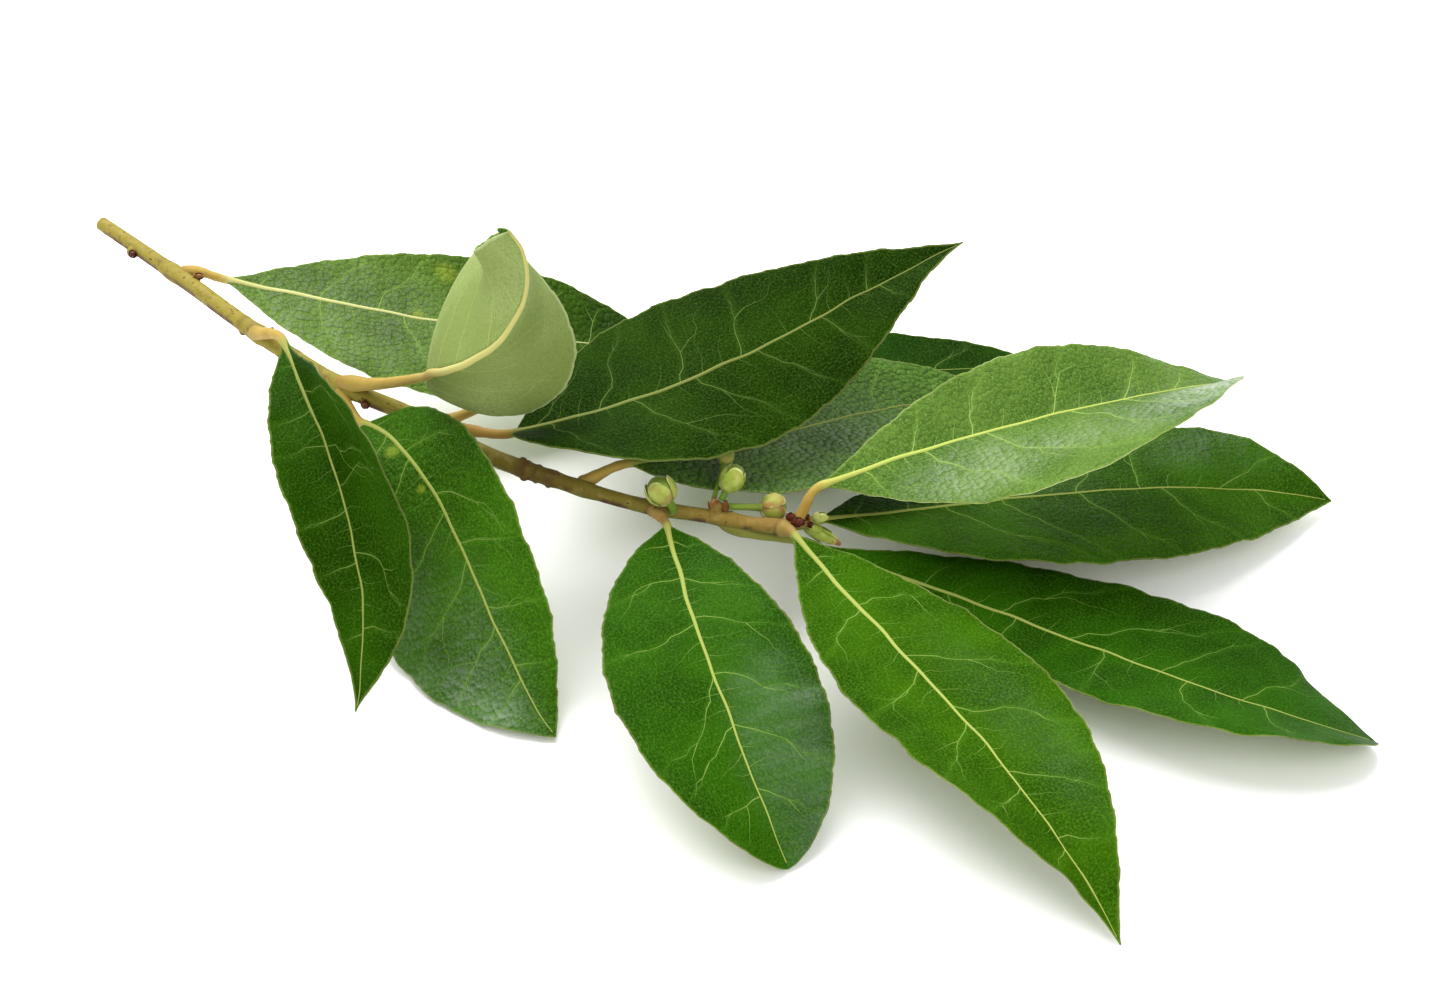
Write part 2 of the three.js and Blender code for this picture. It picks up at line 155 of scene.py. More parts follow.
# %% [markdown]
# ## The leaf recipe
#
# A leaf blade could be a subdivided plane bent with modifiers. Its curve is easier to control as a
# surface with two addresses: u runs along the midrib from base to tip, v runs across from the left
# margin to the right one. Everything about it changes smoothly with u, and three small functions
# say how: through bends a value through three given ones, fullness is the outline, and
# heading_vector turns two angles into a direction.

# %% Curves of a leaf
def through(values, u):
    """A smooth change through three values, which hold at u = 0, 0.5 and 1."""
    base, middle, tip = values
    return base * (1 - u) * (1 - 2 * u) + 4 * middle * u * (1 - u) + tip * u * (2 * u - 1)


def fullness(outline, u):
    """Width at u as a share of the widest place."""
    rise, fall = outline
    widest = rise / (rise + fall)
    u = np.clip(u, 0, 1)
    return (u / widest) ** rise * ((1 - u) / (1 - widest)) ** fall


def heading_vector(heading, pitch):
    h, p = np.radians(heading), np.radians(pitch)
    return np.stack([np.cos(p) * np.cos(h), np.cos(p) * np.sin(h), np.sin(p)], axis=-1)


print("outline of leaf_08 in tenths:", fullness((0.9, 0.65), np.linspace(0, 1, 11)).round(2))

# %% [markdown]
# ## One leaf as a class
#
# For each u a leaf knows where its midrib is, which way the blade faces there, how wide it is, and
# how far its two halves are folded up. The midrib has no formula of its own: it is the sum of many
# short steps, each in the direction that holds there, as one would walk it.

# %% The leaf class
NARROW_BASE = {"leaf_02": 0.6}  # the share of its left half that is missing at the base
NARROW_REACH = 0.2  # of the length
CREASE = 0.6  # mm over which the fold at the midrib is rounded
FACING_STEPS = 32  # pieces of the midrib that are added up to reach a place on it


class Leaf:
    """One leaf: its midrib, its facing and its surface."""

    def __init__(self, name, row):
        self.name = name
        (self.at, self.around, self.base, self.length, self.heading, self.pitch, self.half,
         self.outline, self.roll, self.fold, self.curl) = row
        self.seed = int(name[-2:])

    def facing(self, u):
        """Midrib points, the way ahead, and the blade's right and up directions, for an array of u."""
        share = (np.arange(FACING_STEPS) + 0.5) / FACING_STEPS * u[:, None]
        ways = heading_vector(through(self.heading, share), through(self.pitch, share))
        point = np.array(self.base) + ways.sum(axis=1) * (self.length * u / FACING_STEPS)[:, None]
        heading = np.radians(through(self.heading, u))
        ahead = heading_vector(through(self.heading, u), through(self.pitch, u))
        right = np.stack([np.sin(heading), -np.cos(heading), 0 * heading], axis=-1)
        up = np.cross(right, ahead)
        roll = np.radians(through(self.roll, u))[:, None]
        turned = right * np.cos(roll) + up * np.sin(roll), up * np.cos(roll) - right * np.sin(roll)
        return point, ahead, *turned

    def width(self, u, side):
        """Half widths in mm of blade and midrib at u; side is -1 on the left and 1 on the right."""
        half = np.where(side < 0, self.half[0], self.half[1])
        missing = NARROW_BASE.get(self.name, 0) * (side < 0)
        half = half * (1 - missing * np.exp(-((u / NARROW_REACH) ** 2)))
        rib = STALK_END + (RIB_END - STALK_END) * u
        return np.hypot(half * fullness(self.outline, u), rib), rib

    def surface(self, u, v):
        """Points and normals of the middle of the blade, on the grid of u and v (-1 to 1)."""
        point, _, right, up = (a[:, None, :] for a in self.facing(u))
        u = u[:, None]
        side, out = np.sign(v), np.abs(v)
        width, rib = self.width(u, side)
        open_ = 1 - rib / width
        fold = np.radians(through(self.fold, u)) * open_
        curl = np.radians(self.curl) * open_ + 1e-6  # never zero, because it is divided by
        across = width * (np.sin(fold + curl * out) - np.sin(fold)) / curl
        rise = width * (np.cos(fold) - np.cos(fold + curl * out)) / curl
        slope = side * (fold + curl * out) * np.tanh(out * width / CREASE)
        normal = up * np.cos(slope)[..., None] - right * np.sin(slope)[..., None]
        return point + right * (side * across)[..., None] + up * rise[..., None], normal


LEAF = {name: Leaf(name, row) for name, row in LEAVES.items()}
for leaf in LEAF.values():
    mid, _ = leaf.surface(np.array([0.5]), np.array([[-1.0, 1.0]]))
    print(leaf.name, "from margin to margin half way up:", round(math.dist(*mid[0]), 1), "mm")

# %% [markdown]
# ## Into the frame
#
# The recipe has its own zero. The CAD model stands on the table with its zero under the middle of
# its box. The difference is found from the leaves: the box of each CAD leaf gives a first guess,
# and then the corner of its mesh that is nearest to the leaf's tip gives a shift. The twelve shifts
# differ by up to 0.8 mm, because the nearest corner is not always the same corner of the tip. Their
# median is used, and it stands the scene about half a millimetre higher than the solids.

# %% Shift from the recipe to the frame
def corners(node):
    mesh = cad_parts[node].data
    found = np.empty(len(mesh.vertices) * 3)
    mesh.vertices.foreach_get("co", found)
    return found.reshape(-1, 3) / MM


def highest(points):
    return points.reshape(-1, 3).max(axis=0)


everywhere = np.linspace(0, 1, 60), np.linspace(-1, 1, 15)[None, :]
guess = np.median([highest(corners(n)) - highest(LEAF[n].surface(*everywhere)[0]) for n in LEAF], axis=0)
shifts = []
for node, leaf in LEAF.items():
    tip = leaf.facing(np.array([1.0]))[0][0]
    found = corners(node)
    shifts.append(found[np.linalg.norm(found - tip - guess, axis=1).argmin()] - tip)
SHIFT = np.median(shifts, axis=0)
print("shift in mm:", SHIFT.round(3), "spread:", np.ptp(shifts, axis=0).round(3))

# %% [markdown]
# ## Nodes without the noise
#
# Shaders and Geometry Nodes are both trees of nodes. Clicking them together is fine once, but a
# script that makes a dozen finishes needs something shorter. Wire stands for one output of a node,
# and arithmetic on wires adds Math nodes, so that a formula in the script reads like a formula.

# %% Wires
class Wire:
    """One output of a node. Arithmetic on wires adds Math nodes."""

    def __init__(self, tree, socket):
        self.tree, self.socket = tree, socket

    def math(self, operation, *others):
        return self.tree.math(operation, self, *others)

    def __add__(self, other):
        return self.math("ADD", other)

    def __sub__(self, other):
        return self.math("SUBTRACT", other)

    def __mul__(self, other):
        return self.math("MULTIPLY", other)

    def __pow__(self, other):
        return self.math("POWER", other)

    def __rsub__(self, other):
        return self.tree.math("SUBTRACT", other, self)

    __radd__, __rmul__ = __add__, __mul__


print("a wire can be used with + - * and **")

# %% [markdown]
# ## Trees
#
# Every other node comes from Tree.node, which takes its type, its inputs and its settings. An input
# may be a number, a colour or a wire. The short methods after it make the nodes that nearly every
# finish needs, so that the finishes themselves stay readable.

# %% Trees
class Tree:
    """A node tree of a material or of Geometry Nodes."""

    def __init__(self, tree):
        self.tree = tree

    def node(self, kind, inputs=None, output=0, stops=(), **settings):
        """Adds a node and returns one of its outputs; stops are the places and colours of a ramp."""
        made = self.tree.nodes.new(kind)
        for name, value in settings.items():
            setattr(made, name, value)
        if stops:
            elements = made.color_ramp.elements
            while len(elements) < len(stops):
                elements.new(0.5)
            for element, (position, colour) in zip(elements, stops):
                element.position, element.color = position, colour
        for name, value in (inputs or {}).items():
            socket = made.inputs[name]
            if isinstance(value, Wire):
                self.tree.links.new(value.socket, socket)
            else:
                socket.default_value = value
        return Wire(self, made.outputs[output]) if made.outputs else made

    def math(self, operation, *values):
        return self.node("ShaderNodeMath", dict(enumerate(values)), operation=operation)

    def vector(self, operation, a, b=None, output=0):
        """Vector Math; the second value of SCALE is a number."""
        second = {} if b is None else {"Scale" if operation == "SCALE" else 1: b}
        return self.node("ShaderNodeVectorMath", {0: a, **second}, output, operation=operation)

    def clamp(self, value, low, high):
        return self.node("ShaderNodeClamp", {"Value": value, "Min": low, "Max": high})

    def smooth(self, value, low, high):
        """0 below low, 1 above high, and an eased step between them."""
        return self.node("ShaderNodeMapRange", {"Value": value, "From Min": low, "From Max": high},
                         interpolation_type="SMOOTHSTEP")

    def mix(self, factor, a, b, blend="MIX"):
        """Colour a at factor 0, colour b at 1."""
        return self.node("ShaderNodeMix", {0: factor, 6: a, 7: b}, 2, data_type="RGBA", blend_type=blend)

    def attribute(self, name, output="Fac"):
        return self.node("ShaderNodeAttribute", None, output, attribute_name=name)

    def body(self):
        """Object coordinates, for patterns that fill the whole piece."""
        return self.node("ShaderNodeTexCoord", None, "Object")

    def noise(self, vector, scale, detail=2.0, roughness=0.5):
        return self.node("ShaderNodeTexNoise", {"Vector": vector, "Scale": scale, "Detail": detail,
                                                "Roughness": roughness})

    def clouds(self, vector, scale, detail, low, high):
        """Soft blotches: noise turned to 0 below low and to 1 above high."""
        return self.smooth(self.noise(vector, scale, detail), low, high)

    def cells(self, vector, scale, feature="DISTANCE_TO_EDGE"):
        """Distance to the edge of a cell, or with F1 to its middle, in a flat Voronoi pattern."""
        return self.node("ShaderNodeTexVoronoi", {"Vector": vector, "Scale": scale}, "Distance",
                         feature=feature, voronoi_dimensions="2D")

    def bump(self, height):
        """A normal from a height in metres."""
        return self.node("ShaderNodeBump", {"Strength": 1.0, "Distance": 1.0, "Height": height})


print("short cuts of a tree:", [name for name in vars(Tree) if not name.startswith("_")])

# %% [markdown]
# ## Colours and empty materials
#
# An artist names a colour by six hexadecimal digits, but shaders count light, so every colour is
# turned into linear values first. Each finish then starts from a Principled shader, the one that
# can be bark, wax or a matt leaf depending on a few of its inputs.

# %% Colours and empty materials
def rgb(hexadecimal):
    """A colour as an artist writes it, turned into the linear values that shaders use."""
    parts = [int(hexadecimal[i:i + 2], 16) / 255 for i in (1, 3, 5)]
    return (*[c / 12.92 if c < 0.04045 else ((c + 0.055) / 1.055) ** 2.4 for c in parts], 1.0)


def grey(value):
    return (value, value, value, 1.0)


def new_material(name):
    """An empty material with its Principled shader; returns the material, its tree and the shader."""
    material = bpy.data.materials.new(name)
    material.use_nodes = True
    material.node_tree.nodes.clear()
    tree = Tree(material.node_tree)
    shader = tree.node("ShaderNodeBsdfPrincipled")
    tree.node("ShaderNodeOutputMaterial", {"Surface": shader})
    return material, tree, shader.socket.node


def wear(tree, shader, values):
    """Links or sets inputs of the Principled shader."""
    for name, value in values.items():
        if isinstance(value, Wire):
            tree.tree.links.new(value.socket, shader.inputs[name])
        else:
            shader.inputs[name].default_value = value


print("a leaf green in linear values:", [round(c, 3) for c in rgb("#345f0a")])

# %% [markdown]
# ## Plain meshes from arrays
#
# A blade is a grid of points, so it is worked out with whole arrays and handed to Blender in one
# go. Places come in the recipe's millimetres and leave in the frame's metres.

# %% Mesh helpers
def put(name, data):
    """A new object in the scene."""
    made = bpy.data.objects.new(name, data)
    bpy.context.scene.collection.objects.link(made)
    return made


def make_mesh(name, points, faces, materials, which):
    """A smooth piece; which says for each face which of the materials it wears."""
    mesh = bpy.data.meshes.new(name)
    mesh.from_pydata(((np.asarray(points) + SHIFT) * MM).tolist(), [], faces)
    for material in materials:
        mesh.materials.append(material)
    mesh.polygons.foreach_set("material_index", which)
    mesh.polygons.foreach_set("use_smooth", [True] * len(mesh.polygons))
    mesh.update()
    return put(name, mesh)


def add_values(piece, name, values, kind="FLOAT"):
    """Stores one value per point, which the finishes read by name."""
    layer = piece.data.attributes.new(name, kind, "POINT")
    layer.data.foreach_set("vector" if kind == "FLOAT_VECTOR" else "value", np.ravel(values))


print("shift used:", SHIFT.round(2))

# %% [markdown]
# ## Where the side veins run
#
# A bay leaf has five or six main veins on each side. They leave the midrib at a wide angle, turn
# towards the tip, waver a little, and often fork well before the margin. Drawing each one by hand
# would be slow, and a texture can't fork. So each vein is walked: it takes short steps across the
# flat blade, in millimetres, and turns a little at each. The random numbers come from a seed of
# the leaf's own, so the same leaf grows every time.

# %% Walking the veins
VEINS_PER_SIDE = 6
STEP = 1.7
WAVER, MEMORY = 15, 0.4  # degrees that a step turns by, and how much of that the next one keeps
LEAVING_ANGLE = (72, 60)  # degrees from the midrib, at the base and at the tip
FLATTEST = 18  # the smallest angle that a vein turns down to
MARGIN_STOP, THIN_STOP = 0.84, 0.5  # a vein ends at this share of the half width
VEINED_PART = (0.01, 0.97)  # shares of the length between which veins stay
FIRST_VEIN, STAGGER, JITTER = 0.42, 0.22, 0.16  # in gaps from vein to vein; halves are staggered
CROWDING = 1.08  # over 1, so veins stand a little closer towards the base
FORK = 30  # degrees between a vein and its branch
BRANCHES = ((0, 1, 0.6, 8), (2, -1, 0.45, 5))  # steps past the fork, side, thickness, most steps
THIN_VEINS = (0.36, 0.68)  # where they leave, as shares of the way from one main vein to the next
THIN_ANGLE, THIN_SIZE = 72, 0.34  # degrees from the midrib, and thickness next to a main vein


def walk(leaf, side, start, angle, turn, stop, rng, most=26):
    """Steps of one vein: rows of (distance along the midrib, distance from it) in mm."""
    path = [np.array(start, float)]
    heading, lean = math.radians(angle), 0.0
    for _ in range(most):
        lean = MEMORY * lean + math.radians(rng.normal(0, WAVER))
        heading = max(heading - math.radians(turn) * STEP, math.radians(FLATTEST))
        place = path[-1] + STEP * np.array([math.cos(heading + lean), math.sin(heading + lean)])
        share = place[0] / leaf.length
        if not VEINED_PART[0] < share < VEINED_PART[1]:
            break
        width = float(leaf.width(np.array([share]), np.array([side]))[0][0])
        if place[1] > stop * width or place[1] < 0:
            break
        path.append(place)
    return np.array(path)


def side_veins(leaf, side):
    """Main veins, and then their branches and the thin veins between them as (path, thickness)."""
    rng = np.random.default_rng(10 * leaf.seed + (side > 0))
    mains, small = [], []
    for k in range(VEINS_PER_SIDE):
        place = k + FIRST_VEIN + rng.uniform(-JITTER, JITTER) + STAGGER * (side > 0)
        share = (place / (VEINS_PER_SIDE + 0.55)) ** CROWDING * VEINED_PART[1]
        angle = np.interp(share, (0, 1), LEAVING_ANGLE) + rng.uniform(-7, 7)
        main = walk(leaf, side, (share * leaf.length, 0), angle, rng.uniform(0.6, 1.8), MARGIN_STOP, rng)
        mains.append(main)
        if len(main) > 5:
            first = rng.integers(max(2, len(main) // 3), len(main) - 2)
            turn = rng.choice([-1, 1])
            for later, sway, size, most in BRANCHES:
                place = min(first + later, len(main) - 1)
                ahead = main[place] - main[place - 1]
                way = math.degrees(math.atan2(ahead[1], ahead[0])) + FORK * sway * turn
                branch = walk(leaf, side, main[place], min(max(way, 24), 88), 1.0, MARGIN_STOP, rng, most)
                small.append((branch, size))
    for before, after in zip(mains, mains[1:]):
        for part in THIN_VEINS:
            start = before[0, 0] * (1 - part) + after[0, 0] * part
            small.append((walk(leaf, side, (start, 0), THIN_ANGLE + rng.uniform(-12, 12), 1.0, THIN_STOP,
                               rng, int(rng.integers(2, 6))), THIN_SIZE))
    return ([path for path in mains if len(path) > 1],
            [(path, size) for path, size in small if len(path) > 1])


VEINS = {(name, side): side_veins(leaf, side) for name, leaf in LEAF.items() for side in (-1, 1)}
print("veins on the two halves of leaf_08:", [sum(map(len, VEINS["leaf_08", side])) for side in (-1, 1)])

# %% [markdown]
# ## The blade
#
# The skin of a blade is two grids that share their margins, so it is closed and has a real
# thickness. Three small things make it a leaf and not a sheet of card: the tissue bulges between
# the side veins, the margin ripples, and its edge is cut in a fine, uneven wave. All three are in
# the mesh, because they catch the light along the outline where no bump map can.

# %% Middle of the blade
THICKNESS = 0.34
LOOKS = {  # bulge between veins and ripple of the margin in mm
    "leaf_01": (0.16, 0.3), "leaf_02": (0.12, 0.5), "leaf_03": (0.2, 0.6), "leaf_04": (0.05, 0.1),
    "leaf_05": (0.1, 0.3), "leaf_06": (0.14, 0.45), "leaf_07": (0.2, 0.35), "leaf_08": (0.16, 0.4),
    "leaf_09": (0.13, 0.5), "leaf_10": (0.15, 0.5), "leaf_11": (0.16, 0.45), "leaf_12": (0.3, 0.4),
}
EDGE_WAVES = (7, (1.4, 2.3, 3.7, 7.9), (0.05, 0.06, 0.07, 0.12))  # seed, lengths and heights in mm
RIPPLES = (11, (6.1, 9.7, 17), (0.4, 0.6, 0.8))
EDGE_FADE, RIPPLE_FADE = 4, 5  # mm of half width over which they grow where the blade begins
BULGE_FADE = (4, 2)  # mm from the midrib and from the margin over which the bulges fade


def vein_phase(leaf, side, along, across):
    """Counts the main veins passed on the way to a place: whole numbers lie on a vein."""
    lines = []
    for path in VEINS[leaf.name, side][0]:
        slope = (path[-1, 0] - path[0, 0]) / max(path[-1, 1], 1e-3)
        lines.append(np.interp(across, path[:, 1], path[:, 0])
                     + np.maximum(across - path[-1, 1], 0) * slope)
    lines = np.array([across * 0.5 - 3, *lines, leaf.length + 4 + 0 * across])
    phase = np.zeros_like(along)
    for low, high in zip(lines[:-1], lines[1:]):
        phase += np.clip((along - low) / np.maximum(high - low, 0.5), 0, 1)
    return phase


def waves(x, seed, lengths, sizes):
    """A sum of sine waves with seeded starts."""
    rng = np.random.default_rng(seed)
    return sum(size * np.sin(2 * math.pi * (x / length + rng.uniform()))
               for length, size in zip(lengths, sizes))


def on_both_halves(leaf, along, v, seed, lengths, sizes):
    """Waves along the blade, with other starts on the left half than on the right one."""
    left, right = (waves(along[:, :1], leaf.seed * seed + half, lengths, sizes) for half in (0, 1))
    return np.where(v < 0, left, right)


def dressed(leaf, u, v):
    """Middle surface with its bulges and ripples, its normals, and the values that the finish needs."""
    bulge, ripple = LOOKS[leaf.name]
    along = u[:, None] * leaf.length + 0 * v
    width, rib = leaf.width(u[:, None], np.sign(v))
    edge = on_both_halves(leaf, along, v, *EDGE_WAVES) * np.clip((width - rib) / EDGE_FADE, 0, 1)
    points, normals = leaf.surface(u, v * (1 + edge / width * np.abs(v) ** 3))
    across = np.abs(v) * width
    phase = np.where(v < 0, vein_phase(leaf, -1, along, across), vein_phase(leaf, 1, along, across))
    between = 1 - np.abs(2 * (phase % 1) - 1) ** 2
    inner, outer = across / BULGE_FADE[0], (width - across) / BULGE_FADE[1]
    lift = bulge * between * np.clip(inner, 0, 1) * np.clip(outer, 0, 1)
    sway = on_both_halves(leaf, along, v, *RIPPLES)
    lift = lift + ripple * 0.5 * sway * np.abs(v) ** 3 * np.clip((width - rib) / RIPPLE_FADE, 0, 1)
    return points + normals * lift[..., None], normals, along, np.sign(v) * across, phase


print("bulge and ripple of leaf_12:", LOOKS["leaf_12"], "mm")

# %% [markdown]
# ## Top and underside of the blade
#
# The middle surface is offset both ways to give the two skins. The blade also carries its own flat
# plan, as a UV map and as plain numbers: how far along and across it a point lies, how many veins
# are passed, and how far the margin is. Patterns that read these bend with the leaf, and keep
# their size.

# %% Blade mesh
ROWS, COLUMNS = ((200, 24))  # columns on each half
FULL_UP_TO = 30  # a high power, so that the blade keeps its thickness almost up to the margin
THINNER_TIP = 0.45  # the share of the thickness that is gone at the tip


def blade_grid(rows, columns):
    """Places along and across the blade, closer together at the base, at the tip and at the margins."""
    eased = (1 - np.cos(math.pi * np.linspace(0.035, 1, rows + 1)[:-1])) / 2
    u = 0.55 * eased + 0.45 * np.linspace(0.002, 1, rows + 1)[:-1]
    half = np.r_[np.linspace(0, 0.965, columns - 1), 0.988, 1]
    return u, np.concatenate([-half[::-1], half[1:]])[None, :]


def quads(grid, turned):
    a, b, c, d = grid[:-1, :-1], grid[:-1, 1:], grid[1:, 1:], grid[1:, :-1]
    return np.stack((a, d, c, b) if turned else (a, b, c, d), axis=-1).reshape(-1, 4).tolist()


def fan(row, end, turned):
    """Triangles from a row of points to one point."""
    return [(b, a, end) if turned else (a, b, end) for a, b in zip(row, row[1:])]


def make_blade(leaf, materials):
    u, v = blade_grid(ROWS, COLUMNS)
    middle, normal, along, across, phase = dressed(leaf, u, v)
    rows, columns = along.shape
    thick = THICKNESS / 2 * np.sqrt(1 - np.abs(v) ** FULL_UP_TO) * (1 - THINNER_TIP * u[:, None] ** 3)
    top = middle + normal * thick[..., None]
    under = (middle - normal * thick[..., None])[:, 1:-1]
    tip, butt = leaf.facing(np.array([1.0]))[0], middle[:1, columns // 2]
    points = np.vstack([top.reshape(-1, 3), under.reshape(-1, 3), tip, butt])
    top_id = np.arange(rows * columns).reshape(rows, columns)
    under_id = np.arange(rows * (columns - 2)).reshape(rows, -1) + top_id.size
    under_id = np.hstack([top_id[:, :1], under_id, top_id[:, -1:]])  # the two skins share their margins
    tip_id, butt_id = len(points) - 2, len(points) - 1
    faces = quads(top_id, False) + quads(under_id, True)
    below = [0] * (len(faces) // 2) + [1] * (len(faces) // 2)
    for grid, turned in ((top_id, False), (under_id, True)):
        faces += fan(grid[-1].tolist(), tip_id, turned) + fan(grid[0].tolist(), butt_id, not turned)
        below += [int(turned)] * 2 * (columns - 1)
    piece = make_mesh(f"{leaf.name}_blade", points, faces, materials, below)

    def per_point(grid, at_tip, at_butt):
        return np.concatenate([grid.ravel(), grid[:, 1:-1].ravel(), [at_tip, at_butt]])

    add_values(piece, "phase", per_point(phase, VEINS_PER_SIDE + 1, 0))
    flat = np.zeros((len(points), 3))
    flat[:, 0] = per_point(along, leaf.length, 0) * MM
    flat[:, 1] = per_point(across, 0, 0) * MM
    add_values(piece, "flat", flat, "FLOAT_VECTOR")
    inset = leaf.width(u[:, None], np.sign(v))[0] - np.abs(across)
    add_values(piece, "inset", per_point(inset * MM, 0, 0))
    add_plan(piece, per_point(u[:, None] + 0 * along, 1, 0),
             per_point((v + 1) / 2 + 0 * along, 0.5, 0.5), below)
    return piece


def on_plan(v, under):
    """Where a place across the blade lies on the plan; v is 0 and 1 at the two margins."""
    return 0.49 * v + 0.51 * under


def add_plan(piece, u, v, below):
    """A UV map that is the flat plan of the blade: the top in its lower half, the underside above."""
    layer = piece.data.uv_layers.new(name="plan")
    corner = np.empty(len(piece.data.loops), int)
    piece.data.loops.foreach_get("vertex_index", corner)
    under = np.repeat(np.array(below), [len(face.vertices) for face in piece.data.polygons])
    layer.uv.foreach_set("vector", np.stack([u[corner], on_plan(v[corner], under)], axis=1).ravel())


print("blade grid:", ROWS, "x", 2 * COLUMNS)

# %% [markdown]
# ## Ribs that follow the blade
#
# The stalk runs on as the midrib, and the side veins and the thickened margin lie on the blade.
# All of them are round ribs of changing thickness that follow a surface, which is just what
# Geometry Nodes do well. The veins are first drawn flat, as edges on the plan of the blade. The
# tree looks up where each plan point lies on the real blade, moves it there, turns the edges into
# curves, and sweeps a circle along them. Sample UV Surface does the looking up.

# %% Tree for ribs on a blade
def group(name, **sockets):
    """An empty Geometry Nodes tree with named inputs: the tree, its inputs, and their identifiers."""
    tree = bpy.data.node_groups.new(name, "GeometryNodeTree")

    def socket(label, way, kind):
        return tree.interface.new_socket(name=label, in_out=way, socket_type=f"NodeSocket{kind}").identifier

    identifiers = {label: socket(label, "INPUT", kind) for label, kind in sockets.items()}
    socket("Geometry", "OUTPUT", "Geometry")
    made = Tree(tree)
    return made, {label: made.node("NodeGroupInput", None, label) for label in sockets}, identifiers


def stored(tree, name, kind="FLOAT"):
    return tree.node("GeometryNodeInputNamedAttribute", {"Name": name}, data_type=kind)


def swept(tree, geometry, sides):
    """Edges become curves with the stored radius, and a circle runs along them."""
    circle = tree.node("GeometryNodeCurvePrimitiveCircle", {"Resolution": sides, "Radius": 1.0})
    return tree.node("GeometryNodeCurveToMesh", {
        "Curve": tree.node("GeometryNodeMeshToCurve", {"Mesh": geometry}), "Profile Curve": circle,
        "Scale": stored(tree, "radius"), "Fill Caps": True})


def moved(tree, geometry, **inputs):
    return tree.node("GeometryNodeSetPosition", {"Geometry": geometry, **inputs})


RIBS, given, RIB_INPUTS = group("ribs on a blade", Geometry="Geometry", Blade="Object", Sides="Int",
                                Finish="Material")
blade_mesh = RIBS.node("GeometryNodeObjectInfo", {"Object": given["Blade"]}, "Geometry")
plan = stored(RIBS, "plan", "FLOAT_VECTOR")
flat_place = RIBS.node("GeometryNodeInputPosition")
laid, upright = (
    RIBS.node("GeometryNodeSampleUVSurface", {
        "Mesh": blade_mesh, "Value": RIBS.node(wanted), "UV Map": plan, "Sample UV": flat_place},
        data_type="FLOAT_VECTOR")
    for wanted in ("GeometryNodeInputPosition", "GeometryNodeInputNormal"))
raised = RIBS.vector("ADD", laid, RIBS.vector("SCALE", upright, stored(RIBS, "lift")))
placed = moved(RIBS, given["Geometry"], Selection=stored(RIBS, "on_blade", "BOOLEAN"), Position=raised)
smooth = RIBS.node("GeometryNodeSetShadeSmooth", {"Geometry": swept(RIBS, placed, given["Sides"])})
real = RIBS.node("GeometryNodeRealizeInstances", {"Geometry": smooth})
finished = RIBS.node("GeometryNodeSetMaterial", {"Geometry": real, "Material": given["Finish"]})
RIBS.node("NodeGroupOutput", {"Geometry": finished})
print("ribs tree:", len(RIBS.tree.nodes), "nodes")

# %% [markdown]
# ## Running a tree
#
# A modifier's result lives only while the scene is evaluated. For a part that others will reuse it
# has to be a plain mesh, so the evaluated copy is kept and the modifier is thrown away.

# %% Grow a piece with a tree
def polylines(name, lines):
    """A mesh of edges. Each line is a dict of arrays, one value a point, with its places in metres."""
    mesh = bpy.data.meshes.new(name)
    edges, first = [], 0
    for line in lines:
        last = first + len(line["place"]) - 1
        edges += [(i, i + 1) for i in range(first, last)]
        first = last + 1
    mesh.from_pydata(np.vstack([line["place"] for line in lines]).tolist(), edges, [])
    for label in lines[0]:
        if label != "place":
            values = np.concatenate([line[label] for line in lines])
            layer = mesh.attributes.new(label, "BOOLEAN" if values.dtype == bool else "FLOAT", "POINT")
            layer.data.foreach_set("value", values)
    return put(name, mesh)


def grow(piece, tree, identifiers, **values):
    """Runs a Geometry Nodes tree on a piece and keeps the result as its plain mesh."""
    modifier = piece.modifiers.new("grow", "NODES")
    modifier.node_group = tree.tree
    for label, value in values.items():
        modifier[identifiers[label]] = value
    bpy.context.view_layer.update()
    depsgraph = bpy.context.evaluated_depsgraph_get()
    made = bpy.data.meshes.new_from_object(piece.evaluated_get(depsgraph), depsgraph=depsgraph)
    piece.modifiers.clear()
    old = piece.data
    piece.data = made
    made.name = piece.name
    bpy.data.meshes.remove(old)
    return piece


print("inputs of the ribs tree:", list(RIB_INPUTS))

# %% [markdown]
# ## Stalks
#
# A stalk leaves the stem almost square to it and soon bends into the line of its midrib, so its
# path is a Bezier curve with a direction given at each end. It is thickest just outside the bark.
# The upturned leaf shows its back, where the stalk runs some way up the underside before the two
# become one, so its stalk ends there.

# %% Stalk lines
STALK_START = 1.2  # how far before its joint a stalk leaves the middle of the stem
STALK_STEPS, STALK_LEAN = 26, 0.35  # the lean is towards the tip of the stem
ROOT_DEPTH = 0.25  # it starts at this share of the stem's radius
STALK_SHAPES = {  # shift along the stem in mm, pull away from the bark, pull downwards, thickness
    "leaf_01": (2.4, 1.5, 0.0, 1.0), "leaf_04": (0.0, 0.2, 0.25, 1.15), "leaf_10": (3.0, 0.4, 0.1, 1.2),
    "leaf_02": (0.0, 0.4, 0.0, 1.1), "leaf_12": (0.0, 0.4, 0.0, 0.85),
}
PLAIN_SHAPE = (0.0, 0.4, 0.0, 1.0)
STALK_TAPER = ((0, 0.1, 0.28, 0.6, 1), (0.8, 1.3, 1.05, 0.86, STALK_END))  # share of the way, radius
JOINED_BELOW = {"leaf_04": 0.14}  # this stalk meets its blade from below, at a share of the length
UNDER_SKIN = 0.3  # how far under the skin its end lies


